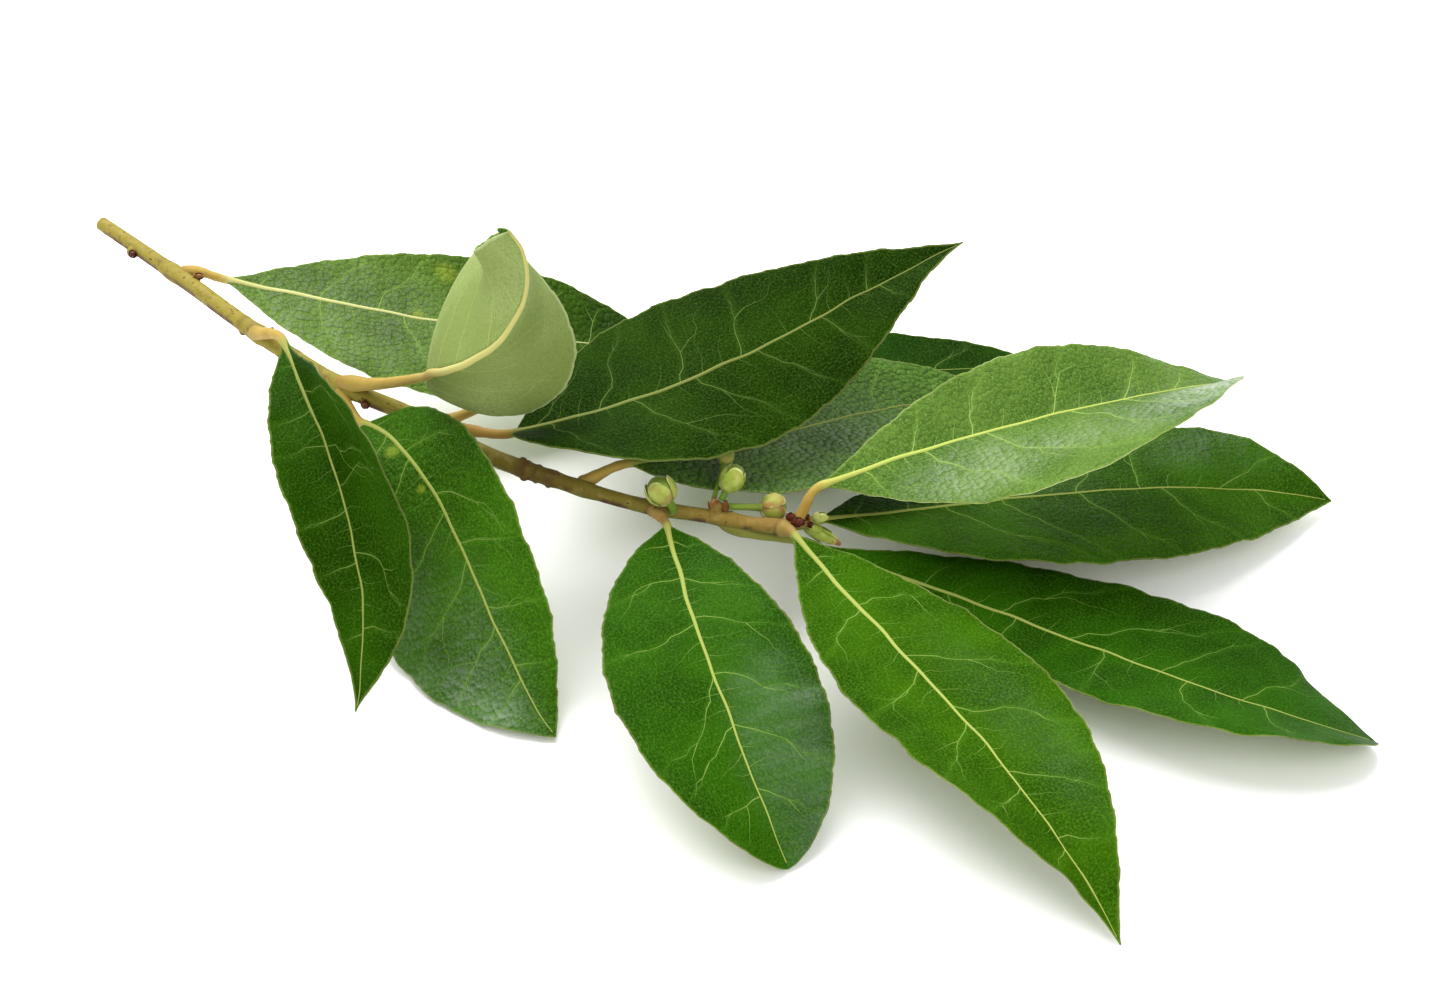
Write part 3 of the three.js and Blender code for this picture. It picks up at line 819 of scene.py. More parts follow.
def bend_between(start, leaving, end, arriving, reach=(0.4, 0.38)):
    """A smooth path in 3-D with its directions given at both ends."""
    t = np.linspace(0, 1, STALK_STEPS)[:, None]
    span = np.linalg.norm(end - start)
    return ((1 - t) ** 3 * start + 3 * t * (1 - t) ** 2 * (start + leaving * span * reach[0])
            + 3 * t**2 * (1 - t) * (end - arriving * span * reach[1]) + t**3 * end)


def stalk_line(leaf, first):
    """Places and radii in mm, from inside the bark to the midrib, which starts at the share first."""
    shift, pull, sag, size = STALK_SHAPES.get(leaf.name, PLAIN_SHAPE)
    centre, along, out = outwards(leaf.at - STALK_START + shift, leaf.around)
    start = centre + out * stem_radius(leaf.at) * ROOT_DEPTH
    base, ahead, _, up = (a[0] for a in leaf.facing(np.array([first])))
    leaving = unit(unit(base - start) + pull * out + STALK_LEAN * along - sag * np.array([0, 0, 1]))
    if first > 0:
        base = base - up * (THICKNESS / 2 + UNDER_SKIN)
        ahead = unit(ahead + 1.2 * unit(base - start))
    path = bend_between(start, leaving, base, ahead)[:-1]
    t = np.linspace(0, 1, STALK_STEPS)[:-1]
    radius = STALK_END + (np.interp(t, *STALK_TAPER) * size - STALK_END) * (1 - t**3)
    return path, radius * (1 + 0.04 * waves(t, leaf.seed, (0.5, 0.23), (1, 0.7)))


for name, share in JOINED_BELOW.items():
    print(name, "stalk joins", round(share * LEAF[name].length, 1), "mm up the underside")

# %% [markdown]
# ## The lines of one leaf
#
# Every rib is a line of points that carry a radius, a height over the blade and an age. The age
# says what kind of rib it is, so that one finish can colour them all: a stalk is near 0, the
# midrib runs up to 0.6, side veins come next and fade at 1, and the margin lies past them. The
# midrib is low on the top side and a strong keel below, as on a real bay leaf.

# %% Rib lines
MARGIN_AGE = 1.3
RIB_BASE, RIB_TIP, KEEL_BASE = 0.58, 0.1, 0.82  # radii of the midrib above and of the keel below, in mm
VEIN_RADIUS = 0.105
MARGIN_POINTS, MARGIN_RADIUS = 150, 0.06
DRIFT = ((9, 15, 27), (0.06, 0.1, 0.09))  # lengths and sizes of the midrib's small bends, in mm


def blade_line(u, v, under, radius, lift, age):
    """A rib on the blade, from places on its plan, with its radius and its height in mm."""
    even = np.ones(len(u))
    return {"place": np.stack([u, on_plan(v, under) * even, 0 * u], axis=1), "radius": radius * even * MM,
            "lift": lift * even * MM, "age": age * even, "on_blade": even.astype(bool)}


def midrib_lines(leaf):
    """The stalk with the midrib that it runs into, and the midrib on the other side of the blade."""
    first, joined = JOINED_BELOW.get(leaf.name, 0.0), int(leaf.name in JOINED_BELOW)
    u = np.linspace(first, 0.985, 60)
    width = leaf.width(u, np.ones(len(u)))[0]
    drift = waves(u * leaf.length, leaf.seed, *DRIFT) * np.clip((u - first) * 8, 0, 1)
    spread = np.clip(u * 12, 0, 1)
    rib = RIB_BASE + (RIB_TIP - RIB_BASE) * u ** 0.8 + (STALK_END - RIB_BASE) * np.exp(-u * 45)
    keel = KEEL_BASE + (RIB_TIP * 2 - KEEL_BASE) * np.clip((u - first) / (1 - first), 0, 1) ** 0.8
    sizes = (rib, keel)
    lifts = (-(THICKNESS / 2) * (1 - spread) - rib * 0.5 * spread, (keel - THICKNESS).clip(0) * 0.7)
    ages = (0.3 + 0.3 * u, np.interp(u, (first, first + 0.3), (0.2, 0.42)))
    on, other = (blade_line(u, 0.5 + drift / width / 2, under, sizes[under], lifts[under], ages[under])
                 for under in (joined, 1 - joined))
    place, radius = stalk_line(leaf, first)
    stalk = {"place": (place + SHIFT) * MM, "radius": radius * MM, "lift": 0 * radius,
             "age": np.linspace(0, 0.25, len(place)), "on_blade": np.zeros(len(place), bool)}
    return [{label: np.concatenate([stalk[label], on[label]]) for label in stalk},
            {label: values[2:] for label, values in other.items()}]


def vein_line(leaf, side, path, size, under):
    run = np.linspace(0, 1, len(path))
    share = path[:, 0] / leaf.length
    half = leaf.width(share, np.full(len(path), side))[0]
    thick = (VEIN_RADIUS * size * (1 - 0.7 * run) + 0.02) * (1 - 0.3 * under)
    return blade_line(share, 0.5 + side * path[:, 1] / half / 2, under, thick,
                      -thick * (0.5 if under else 0.6),
                      0.66 if under else 0.72 + 0.28 * run + 0.08 * (1 - size))


def rib_lines(leaf):
    lines = midrib_lines(leaf)
    along = np.linspace(0.004, 0.99, MARGIN_POINTS)
    thin = np.clip(np.minimum(along, 1 - along) * 30, 0.3, 1)
    for side in (-1, 1):
        mains, small = VEINS[leaf.name, side]
        lines += [vein_line(leaf, side, path, 1.0, 0) for path in mains]
        lines += [vein_line(leaf, side, path, size, 0) for path, size in small]
        lines += [vein_line(leaf, side, path, 1.0, 1) for path in mains]
        lines.append(blade_line(along, 0.5 + side * 0.4995, 0, MARGIN_RADIUS * thin, -MARGIN_RADIUS / 2,
                                MARGIN_AGE))
    return lines


def make_ribs(leaf, blade, finish):
    return grow(polylines(f"{leaf.name}_ribs", rib_lines(leaf)), RIBS, RIB_INPUTS, Blade=blade,
                Sides=8, Finish=finish)


print("rib lines on leaf_08:", len(rib_lines(LEAF["leaf_08"])))

# %% [markdown]
# ## The tissue of a leaf
#
# Bay leaves look plain green from far away. Close up there are layers: the green itself, which
# drifts from dark to light over a centimetre or two; a net of fine veins under a millimetre wide,
# with a coarser one around it; tissue that domes up inside the net, with painted shade darkening the
# valleys between the domes; and pale light along the main veins. Every layer reads the flat plan of
# the blade in metres, so the net keeps its size on a bent leaf. A Voronoi texture gives the nets,
# and pushing its coordinates about first keeps them from looking drawn with a ruler.

# %% Nets and ovals
NET, COARSE_NET, GRAIN, DOMES = 1 / 0.0007, 1 / 0.0036, 1 / 0.0004, 1 / 0.001  # one over metres
WARP = 0.0011  # metres by which places are pushed about
VEIN_TINT = "#8fa850"


def warped(tree, flat):
    """The plan coordinates, pushed about a little so that no line in a net is straight."""
    push = tree.node("ShaderNodeTexNoise", {"Vector": flat, "Scale": 420.0, "Detail": 2.0}, "Color")
    centred = tree.vector("SUBTRACT", push, (0.5, 0.5, 0.5))
    return tree.vector("ADD", flat, tree.vector("SCALE", centred, WARP))


def paler(colour, lift=0.7, towards=0.1):
    """A brighter version of a colour, with a little of the yellowish green of the veins."""
    return tuple(c * (1 + lift) * (1 - towards) + v * towards for c, v in zip(rgb(colour), rgb(VEIN_TINT)))


def oval(tree, flat, centre, radii):
    """1 in the middle of an uneven ellipse on the plan of the blade, 0 outside it; all in mm."""
    place = tree.vector("SUBTRACT", flat, tuple(c * MM for c in (*centre, 0)))
    shrunk = tree.vector("DIVIDE", place, (radii[0] * MM, radii[1] * MM, 1.0))
    away = tree.vector("LENGTH", shrunk, output="Value")
    return 1 - tree.smooth(away + (tree.noise(flat, 260.0, 3.0) - 0.5) * 0.35, 0.25, 1.0)


print("fine net:", round(1 / NET / MM, 2), "mm, coarse net:", round(1 / COARSE_NET / MM, 2), "mm")

# %% [markdown]
# ## The waxy top of a leaf
#
# The wax has a soft gloss of its own. A second, clear layer over the green, Coat, is laid in soft
# ovals where a leaf shows the broad pale sheen of the light, so these ovals are painted sheen. Its
# weight is broken up by the streaks of the tissue and by the slope of every dome, which gives a
# painted highlight on one flank of each dome, so the sheen breaks up just as the net does.

# %% Upper side
SHEEN_ROUGHNESS, SHEEN_IOR = 0.42, 1.7
YELLOW_SPOT, MARGIN_GREEN = "#8f9f30", "#8a9a48"
NUDGE = (0.00025, 0.0003, 0.0)  # two looks at the domes, this far apart, give their slope


def leaf_top(name, deep, light, gloss, patches, sheens, shade, quilt):
    """Green of a leaf's upper side between two colours.

    Patches are yellow spots (along, across, radius) in mm, sheens are ellipses of painted sheen laid
    as coat (centre, radii, strength), shade darkens the blade from one distance to another (start, end,
    factor), and quilt is how much the tissue domes up inside the net, which also sets the painted
    shade in its valleys and the painted highlight on one flank of each dome.
    """
    material, tree, shader = new_material(name)
    flat, body = tree.attribute("flat", "Vector"), tree.body()
    place = warped(tree, flat)
    green = tree.mix(tree.clouds(body, 70.0, 3.0, 0.3, 0.72), rgb(deep), rgb(light))
    net = paler(light)
    grain = tree.clouds(flat, GRAIN, 1.0, 0.5, 0.66)
    fine = 1 - tree.smooth(tree.cells(place, NET), 0.03, 0.2)
    coarse = 1 - tree.smooth(tree.cells(place, COARSE_NET), 0.005, 0.04)
    fade = tree.clouds(body, 160.0, 2.0, 0.35, 0.65)
    for factor in (grain * 0.42, fine * (0.12 + fade * 0.14), coarse * fade * 0.25):
        green = tree.mix(factor, green, net)
    # Painted shade: the valleys between the domes are darkened towards the deep green.
    painted_valley_shade = 1 - tree.smooth(tree.cells(place, DOMES), 0.0, 0.16)
    green = tree.mix(painted_valley_shade * min(quilt * 0.12, 0.3), green, (*[c * 0.45 for c in rgb(deep)[:3]], 1.0))
    off_vein = tree.math("ABSOLUTE", (tree.attribute("phase") + 0.5).math("FRACT") - 0.5)
    green = tree.mix((1 - tree.smooth(off_vein, 0.0, 0.09)) * 0.2, green, net)
    for along, across, radius in patches:
        green = tree.mix(oval(tree, flat, (along, across), (radius, radius)) * 0.4, green, rgb(YELLOW_SPOT))
    if shade:
        start, end, factor = shade
        dusk = tree.smooth(tree.node("ShaderNodeSeparateXYZ", {"Vector": flat}, "X"), start * MM, end * MM)
        green = tree.mix(dusk, green, (factor * 0.85, factor * 1.2, factor * 0.2, 1.0), "MULTIPLY")
    rim = 1 - tree.smooth(tree.attribute("inset"), 0.0001, 0.0005)
    green = tree.mix(rim * 0.3, green, rgb(MARGIN_GREEN))
    squared = tree.cells(place, DOMES, "F1") ** 2
    folds = tree.noise(tree.vector("MULTIPLY", place, (520.0, 110.0, 1.0)), 1.0)
    height = (fine * -0.000012 + grain * 0.000008 + (1 - squared * 1.6) * (quilt * 0.00015)
              + folds * (quilt * 0.0003) + tree.noise(body, 330.0) * 0.0001)
    wear(tree, shader, {"Base Color": green, "Roughness": 0.42 + grain * 0.1 - fine * 0.06,
                        "Normal": tree.bump(height), "Specular IOR Level": gloss})
    if sheens:
        # Painted sheen: the coat is laid in ovals where the light's sheen shows, broken into streaks and
        # into a painted highlight on one flank of each dome.
        painted_sheen = sum(oval(tree, flat, centre, radii) * strength for centre, radii, strength in sheens)
        streaked = tree.vector("MULTIPLY", place, (620.0, 90.0, 1.0))
        sheen_streaks = tree.clouds(streaked, 1.0, 3.0, 0.35, 0.62) * 0.5 + 0.5
        nudged = tree.cells(tree.vector("ADD", place, NUDGE), DOMES, "F1") ** 2
        painted_flank_highlight = (nudged - squared) * (quilt * 1.6) + 0.9
        wear(tree, shader, {"Coat Weight": painted_sheen * sheen_streaks * tree.clamp(painted_flank_highlight, 0.2, 1.6),
                            "Coat Roughness": SHEEN_ROUGHNESS, "Coat IOR": SHEEN_IOR})
    return material


print("sheen roughness:", SHEEN_ROUGHNESS)

# %% [markdown]
# ## The matt underside
#
# Below, a bay leaf is paler and has no wax. The same net shows there as faint darker lines, with a
# fine grain between them.

# %% Underside
def leaf_under(name):
    material, tree, shader = new_material(name)
    flat, body = tree.attribute("flat", "Vector"), tree.body()
    place = warped(tree, flat)
    green = tree.mix(tree.clouds(body, 60.0, 3.0, 0.3, 0.7), rgb("#798846"), rgb("#8f9d5e"))
    fine = 1 - tree.smooth(tree.cells(place, NET), 0.02, 0.14)
    grain = tree.clouds(flat, GRAIN * 0.8, 2.0, 0.42, 0.62)
    specks = tree.smooth(tree.noise(flat, GRAIN * 0.55, 3.0, 0.7), 0.52, 0.62)
    rim = 1 - tree.smooth(tree.attribute("inset"), 0.0002, 0.0008)
    for factor, colour in ((fine * 0.16, "#6f8a40"), (grain * 0.35, "#62803a"), (specks * 0.3, "#4f6a2c"),
                           (rim * 0.5, "#b9c890")):
        green = tree.mix(factor, green, rgb(colour))
    height = fine * -0.00002 + tree.noise(body, 300.0) * 0.00016
    wear(tree, shader, {"Base Color": green, "Roughness": 0.75, "Normal": tree.bump(height),
                        "Specular IOR Level": 0.08})
    return material


UNDER = leaf_under("leaf underside")
print("made:", UNDER.name)

# %% [markdown]
# ## One finish for all ribs
#
# A colour ramp over the age of a rib runs from the straw colour of the stalk to the pale midrib
# and the greener veins. At their ends the veins sink into the green of the leaf. The margin has a
# colour of its own, because its thin edge dries first.

# %% Finish of the ribs
STALK_TONE = 0.75


def rib_finish(name, tone, faint, stalk, margin, midrib, vein):
    """Colours of stalk and margin come in pairs; tone dims midrib, veins and margin."""
    material, tree, shader = new_material(name)
    age, body = tree.attribute("age"), tree.body()
    ramp = tree.node("ShaderNodeValToRGB", {"Fac": age}, stops=[
        (0.0, rgb(stalk[0])), (0.08, rgb(stalk[1])), (0.22, rgb(stalk[1])), (0.34, rgb(midrib)),
        (0.6, rgb(midrib)), (0.74, rgb(vein)), (1.0, rgb(vein))])
    blush = tree.clouds(body, 260.0, 3.0, 0.5, 0.75) * (1 - tree.smooth(age, 0.2, 0.3))
    colour = tree.mix(1.0, tree.mix(blush * 0.45, ramp, rgb("#9c6a2a")), grey(STALK_TONE), "MULTIPLY")
    dimmer = tone / STALK_TONE
    colour = tree.mix(tree.smooth(age, 0.16, 0.36), colour, (dimmer, dimmer, dimmer * 0.8, 1.0), "MULTIPLY")
    colour = tree.mix(tree.smooth(age, 0.76, 1.02) * 0.85, colour, paler(faint, 0.35, 0.03))
    tinge = tree.mix(tree.clouds(body, 90.0, 3.0, 0.42, 0.6), rgb(margin[0]), rgb(margin[1]))
    colour = tree.mix(tree.smooth(age, 1.15, 1.2), colour, tree.mix(1.0, tinge, grey(tone), "MULTIPLY"))
    wear(tree, shader, {"Base Color": colour, "Roughness": 0.5, "Specular IOR Level": 0.12,
                        "Normal": tree.bump(tree.noise(body, 900.0) * 0.00006)})
    return material


print("stalks keep", STALK_TONE, "of their ramp's brightness")

# %% [markdown]
# ## The colours of each leaf
#
# No two leaves of a branch are the same green. Old ones are darker, and a leaf that faces the light
# looks paler, so the paler greens of the leaves that face the light are partly painted light. Each
# has its own pair of greens, and only the leaves that differ in more than that are named in the
# smaller tables.

# %% Colours of the leaves
GREENS = {  # deep, light, gloss, tone of the ribs
    "leaf_01": ("#334c11", "#4e6a20", 0.05, 0.8), "leaf_02": ("#153001", "#204401", 0.01, 0.42),
    "leaf_03": ("#224106", "#345f0a", 0.02, 0.5), "leaf_04": ("#44691f", "#5f8a38", 0.05, 0.8),
    "leaf_05": ("#0a2101", "#113101", 0.01, 0.35), "leaf_06": ("#0e2201", "#193301", 0.01, 0.3),
    "leaf_07": ("#345014", "#466923", 0.05, 0.42), "leaf_08": ("#163701", "#265001", 0.02, 0.6),
    "leaf_09": ("#143101", "#204b01", 0.01, 0.5), "leaf_10": ("#1c3c01", "#2f5601", 0.01, 0.62),
    "leaf_11": ("#1a3702", "#2d5504", 0.02, 0.5), "leaf_12": ("#385818", "#53702a", 0.05, 0.78),
}
PATCHES = {"leaf_01": ((34, -0.6, 1.8), (39.7, -11, 3.2)),
           "leaf_03": ((10.5, 1.6, 1.8), (18.5, 7, 1.8), (20, 1.5, 1.2))}
QUILTS = {"leaf_01": 1.7, "leaf_07": 2.9, "leaf_12": 1.15, "leaf_03": 1.1, "leaf_11": 1.1, "leaf_08": 0.45,
          "leaf_10": 0.5}
FLAT_QUILT = 0.35  # quilt of the other leaves
# Ovals of painted sheen, laid as coat on the top of a leaf.
SHEENS = {  # centre and radii on the plan in mm, strength
    "leaf_01": (((24, 3), (32, 18), 0.4),), "leaf_03": (((47, 9), (31, 15), 0.68),),
    "leaf_07": (((30, 4), (40, 20), 0.4),), "leaf_08": (((54, -8), (27, 13), 0.55),),
    "leaf_10": (((50, -8), (30, 8), 0.1),), "leaf_11": (((74, -9), (20, 9), 0.2),),
    "leaf_12": (((60, 8), (28, 13), 0.9), ((26, 8), (22, 9), 0.45)),
}
SHADES = {"leaf_01": (34, 50, 0.35)}
STALKS = {"leaf_09": ("#7f7a35", "#8f9440"), "leaf_06": ("#a37c3a", "#b8924a"),
          "leaf_10": ("#866a38", "#a38a48"), "leaf_08": ("#8a6a3c", "#a98c4c")}
MARGINS = {"leaf_03": ("#c3d095", "#97a565"), "leaf_08": ("#a5b068", "#76693e"),
           "leaf_04": ("#c3c88c", "#a9a868"), "leaf_01": ("#b4c290", "#8f9a60"),
           "leaf_12": ("#b9c983", "#93a055")}
MIDRIBS = {"leaf_04": "#c5c07e", "leaf_01": "#cfd29a"}
SIDE_VEINS = {"leaf_01": "#7d9a58", "leaf_12": "#9db86a"}
STRAW, GREEN_MARGIN = ("#987f38", "#bda04c"), ("#98a658", "#7a7442")
YELLOW_GREEN, VEIN_GREEN = "#bccb6c", "#8fb055"
print("greens for", len(GREENS), "leaves")

# %% [markdown]
# ## Growing the twelve leaves
#
# With the recipe, the tree and the finishes ready, all the leaves take one short loop. Each leaf is
# two pieces: the blade, which stands for the whole CAD leaf, and its ribs with the stalk.

# %% Leaves
for name, leaf in LEAF.items():
    deep, light, gloss, tone = GREENS[name]
    top = leaf_top(f"{name} top", deep, light, gloss, PATCHES.get(name, ()), SHEENS.get(name, ()),
                   SHADES.get(name), QUILTS.get(name, FLAT_QUILT))
    straw = rib_finish(f"{name} ribs", tone, light, STALKS.get(name, STRAW),
                       MARGINS.get(name, GREEN_MARGIN), MIDRIBS.get(name, YELLOW_GREEN),
                       SIDE_VEINS.get(name, VEIN_GREEN))
    blade = make_blade(leaf, [top, UNDER])
    ribs = make_ribs(leaf, blade, straw)
    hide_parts(name)
    for piece in (blade, ribs):
        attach(piece, "root")
    print(name, "blade", len(blade.data.polygons), "faces, ribs", len(ribs.data.polygons), "faces")

# %% [markdown]
# ## The stem
#
# A twig is a tube, but never a plain one. It swells where leaves join, it is faintly furrowed, and
# it carries old scars. The tube comes from the same sweep as the ribs. A second tree then pushes
# its surface in and out along its normals with noise, and scatters lenticels over it: the corky
# brown dots through which bark breathes. Scattering is far better than placing them one by one,
# and a seed keeps them where they are.

# %% Tree for bark
BARK, given, BARK_INPUTS = group("bark of a twig", Geometry="Geometry", Sides="Int", Relief="Float",
                                 Density="Float", Seed="Int", Lenticel="Object", Finish="Material",
                                 Cork="Material")
tube = swept(BARK, given["Geometry"], given["Sides"])
here = BARK.node("GeometryNodeInputPosition")
grainy = BARK.noise(here, 520.0, 3.0)
furrow = BARK.noise(BARK.vector("MULTIPLY", here, (160.0, 210.0, 900.0)), 1.0)
height = (grainy - 0.5) * given["Relief"] + (furrow - 0.5) * given["Relief"]
pushed = moved(BARK, tube, Offset=BARK.vector("SCALE", BARK.node("GeometryNodeInputNormal"), height))
spots = BARK.node("GeometryNodeDistributePointsOnFaces", {
    "Mesh": pushed, "Density": given["Density"], "Seed": given["Seed"]})
dots = BARK.node("GeometryNodeInstanceOnPoints", {
    "Points": spots, "Rotation": Wire(BARK, spots.socket.node.outputs["Rotation"]),
    "Instance": BARK.node("GeometryNodeObjectInfo", {"Object": given["Lenticel"]}, "Geometry"),
    "Scale": BARK.node("FunctionNodeRandomValue", {2: 0.35, 3: 1.0, "Seed": 11}, 1, data_type="FLOAT")})
both = BARK.tree.nodes.new("GeometryNodeJoinGeometry")
for part, kind, finish in ((pushed, "GeometryNodeSetShadeSmooth", "Finish"),
                           (dots, "GeometryNodeRealizeInstances", "Cork")):
    finished = BARK.node("GeometryNodeSetMaterial", {
        "Geometry": BARK.node(kind, {"Geometry": part}), "Material": given[finish]})
    BARK.tree.links.new(finished.socket, both.inputs[0])
BARK.node("NodeGroupOutput", {"Geometry": Wire(BARK, both.outputs[0])})
print("bark tree:", len(BARK.tree.nodes), "nodes")

# %% [markdown]
# ## Bark colours
#
# Young bay bark is yellow-olive at the cut end and turns tan, then pinkish brown, towards the tip,
# where its side that faces down is darkened to olive green as painted shade. One attribute, the
# distance along the stem, drives that change, and noise breaks it up. Near the cut end purplish
# brown blotches are kept to its lower side, so they are partly stain and partly painted shade. The
# side of the stem that faces down is known from the normal, so no map is needed.

# %% Finish of the bark
def bark_finish():
    material, tree, shader = new_material("bark")
    along, body = tree.attribute("along"), tree.body()
    colour = tree.node("ShaderNodeValToRGB", {"Fac": along}, stops=[
        (0.0, rgb("#857930")), (0.35, rgb("#867b2c")), (0.6, rgb("#736824")), (0.7, rgb("#665620")),
        (0.8, rgb("#706524")), (0.92, rgb("#80692c")), (1.0, rgb("#846834"))])
    normal = tree.node("ShaderNodeNewGeometry", None, "Normal")
    upwards = tree.node("ShaderNodeSeparateXYZ", {"Vector": normal}, "Z")
    # Painted shade: towards the tip the side that faces down is darkened to olive green.
    below = (1 - tree.smooth(upwards, -0.8, 0.35)) * tree.smooth(along, 0.5, 0.8)
    streak = tree.clouds(tree.vector("MULTIPLY", body, (150.0, 190.0, 700.0)), 1.0, 3.0, 0.55, 0.72)
    early = tree.smooth(along, 0.05, 0.1) * (1 - tree.smooth(along, 0.24, 0.3))
    stain_and_underside_shade = tree.smooth(tree.noise(body, 190.0, 3.0) + early * 0.12, 0.5, 0.6)
    # Painted shade: the stain is kept to the side that faces down.
    stain_and_underside_shade = stain_and_underside_shade * (1 - tree.smooth(upwards, -0.2, 0.5))
    specks = tree.clouds(body, 1100.0, 2.0, 0.62, 0.7)
    pale = tree.clouds(body, 620.0, 2.0, 0.52, 0.7)
    for factor, tint in (
            (below * 0.8, "#4c5c18"), (streak * 0.55, "#63502a"), (stain_and_underside_shade * 0.95, "#4a2e22"),
            (specks * 0.5, "#5a4426"), (pale * 0.2, "#a8985a"), (tree.attribute("scar") * 0.75, "#52321f")):
        colour = tree.mix(factor, colour, rgb(tint))
    height = tree.noise(body, 1500.0, 3.0) * 0.00007 + streak * 0.00006
    wear(tree, shader, {"Base Color": colour, "Roughness": 0.62, "Normal": tree.bump(height),
                        "Specular IOR Level": 0.15})
    return material


BARK_FINISH = bark_finish()
print("made:", BARK_FINISH.name)

# %% [markdown]
# ## Small skins
#
# Bracts, scales and lenticels are only a few millimetres long. Two colours that drift into each
# other and a faint relief are enough for them, and some also get a blush of a third colour.

# %% Finishes of buds and lenticels
def skin(name, deep, light, roughness, blush=None):
    material, tree, shader = new_material(name)
    body = tree.body()
    colour = tree.mix(tree.clouds(body, 420.0, 3.0, 0.35, 0.65), rgb(deep), rgb(light))
    if blush:
        colour = tree.mix(tree.clouds(body, 252.0, 2.0, 0.52, 0.68) * 0.8, colour, rgb(blush))
    wear(tree, shader, {"Base Color": colour, "Roughness": roughness, "Specular IOR Level": 0.2,
                        "Normal": tree.bump(tree.noise(body, 1600.0) * 0.00004)})
    return material


CORK = skin("lenticels", "#4f3720", "#6f5230", 0.8)
BUD_GREEN = skin("bud bracts", "#7d8f2c", "#a3ab52", 0.42, "#9a8a4a")
BUD_PINK = skin("blushing bracts", "#7d8a30", "#a3a050", 0.42, "#94683c")
BUD_HEART = skin("bud heart", "#5a7020", "#7d8f3a", 0.42)
RIM = skin("bract rims", "#b5b678", "#cbca98", 0.5)
STALK_GREEN = skin("bud stalk", "#4f6f16", "#6c8628", 0.5, "#7d8030")
SCALE_BROWN = skin("bud scales", "#6b4220", "#9a713c", 0.6, "#45260f")
SCALE_RED = skin("dark red scales", "#331208", "#52220f", 0.5)
KNOB = skin("pale knob", "#98a048", "#b9bb78", 0.5)
print("finishes:", len(bpy.data.materials))

# %% [markdown]
# ## Stem piece
#
# The line of the stem carries its radius at every point. Scars are short stubs that stand on it and
# also swell and darken the bark around them. The rings near the tip are what the scales of last
# year's bud left behind, and the short spur carries three of the flower buds.

# %% Grow the stem
SCARS = [(42, 150, 0.9), (55, 60, 0.8), (102, -20, 1.0), (103, 120, 1.0), (107, 160, 0.8), (108, 0, 0.8)]
LEAF_SCAR = (10.6, 110, 1.15)  # distance along the stem, angle around it, radius, as for the scars
RINGS = ((103, 0.5, 0.16), (105, 0.35, 0.2))  # distance along the stem, width, height
SPUR_FOOT, SPUR_TOP = 135, np.array([-0.3, -31, 22.2])  # distance along the stem, and a place
LENTICEL = (0.17, (1.9, 0.9, 0.4))  # radius in mm, and how it is stretched
BARK_RELIEF, LENTICELS = 0.00014, 120000.0  # height in metres, and how many on a square metre


def bump_at(at, place, width):
    """A smooth hill of height 1 over distances along the stem."""
    return np.exp(-(((at - place) / width) ** 2))


def little_ball(name, radius, stretch, rings=5, sides=8):
    """A small closed ellipsoid for scattering, in metres."""
    a, b = math.pi * np.arange(1, rings) / rings, 2 * math.pi * np.arange(sides) / sides
    points = [(0, 0, 1), *((math.sin(i) * math.cos(j), math.sin(i) * math.sin(j), math.cos(i))
                           for i in a for j in b), (0, 0, -1)]
    faces, last = [], len(points) - 1
    for j in range(sides):
        k = (j + 1) % sides
        faces += [(0, 1 + j, 1 + k), (last, last - sides + k, last - sides + j)]
        for i in range(1, last - sides, sides):
            faces.append((i + j, i + sides + j, i + sides + k, i + k))
    mesh = bpy.data.meshes.new(name)
    mesh.from_pydata((np.array(points) * radius * MM * np.array(stretch)).tolist(), [], faces)
    return bpy.data.objects.new(name, mesh)


def stem_lines():
    """The stem, the spur and the stubs of the scars, as lines for the bark tree."""
    at = np.r_[np.arange(0, STEM_LENGTH - 0.05, 0.35), STEM_LENGTH - 0.02]
    scar = sum(bump_at(at, a, 0.7) for a, _, _ in SCARS)
    ring = sum(high * bump_at(at, a, wide) for a, wide, high in RINGS)
    ends = np.clip((STEM_LENGTH - at) / 0.35, 0, 1) * 0.12 + 0.88  # the growing tip is rounded
    lines = [{
        "place": (np.array([on_stem(a)[0] for a in at]) + SHIFT) * MM,
        "radius": (np.array([stem_radius(a) for a in at]) + 0.1 * scar + ring) * ends * MM,
        "along": at / STEM_LENGTH, "scar": np.clip(scar * 0.5 + ring * 3, 0, 0.9),
    }]
    foot, rise = on_stem(SPUR_FOOT)[0], np.linspace(0, 1, 12)
    lines.append({
        "place": (foot + (SPUR_TOP - foot) * rise[:, None] + SHIFT) * MM,
        "radius": np.interp(rise, (0, 0.4, 0.8, 0.93, 1), (1.5, 1.15, 1.1, 0.9, 0.35)) * MM,
        "along": np.full(12, 0.9), "scar": np.interp(rise, (0, 0.6, 1), (0, 0.1, 0.5)),
    })
    rise = np.linspace(0, 1, 9)
    for a, around, size in [LEAF_SCAR, *SCARS]:
        stub, dark = (0.72, 0.35) if a == LEAF_SCAR[0] else (0.45, 1.0)
        centre, along, out = outwards(a, around)
        tall = stem_radius(a) + size * stub
        lines.append({
            "place": (centre + out * tall * rise[:, None] + along * 0.5 * rise[:, None] ** 2 + SHIFT) * MM,
            "radius": size * np.interp(rise, (0, 0.6, 0.85, 1), (1.1, 0.95, 0.7, 0.2)) * MM,
            "along": np.full(9, a / STEM_LENGTH), "scar": np.interp(rise, (0.6, 1), (0, dark)),
        })
    return lines


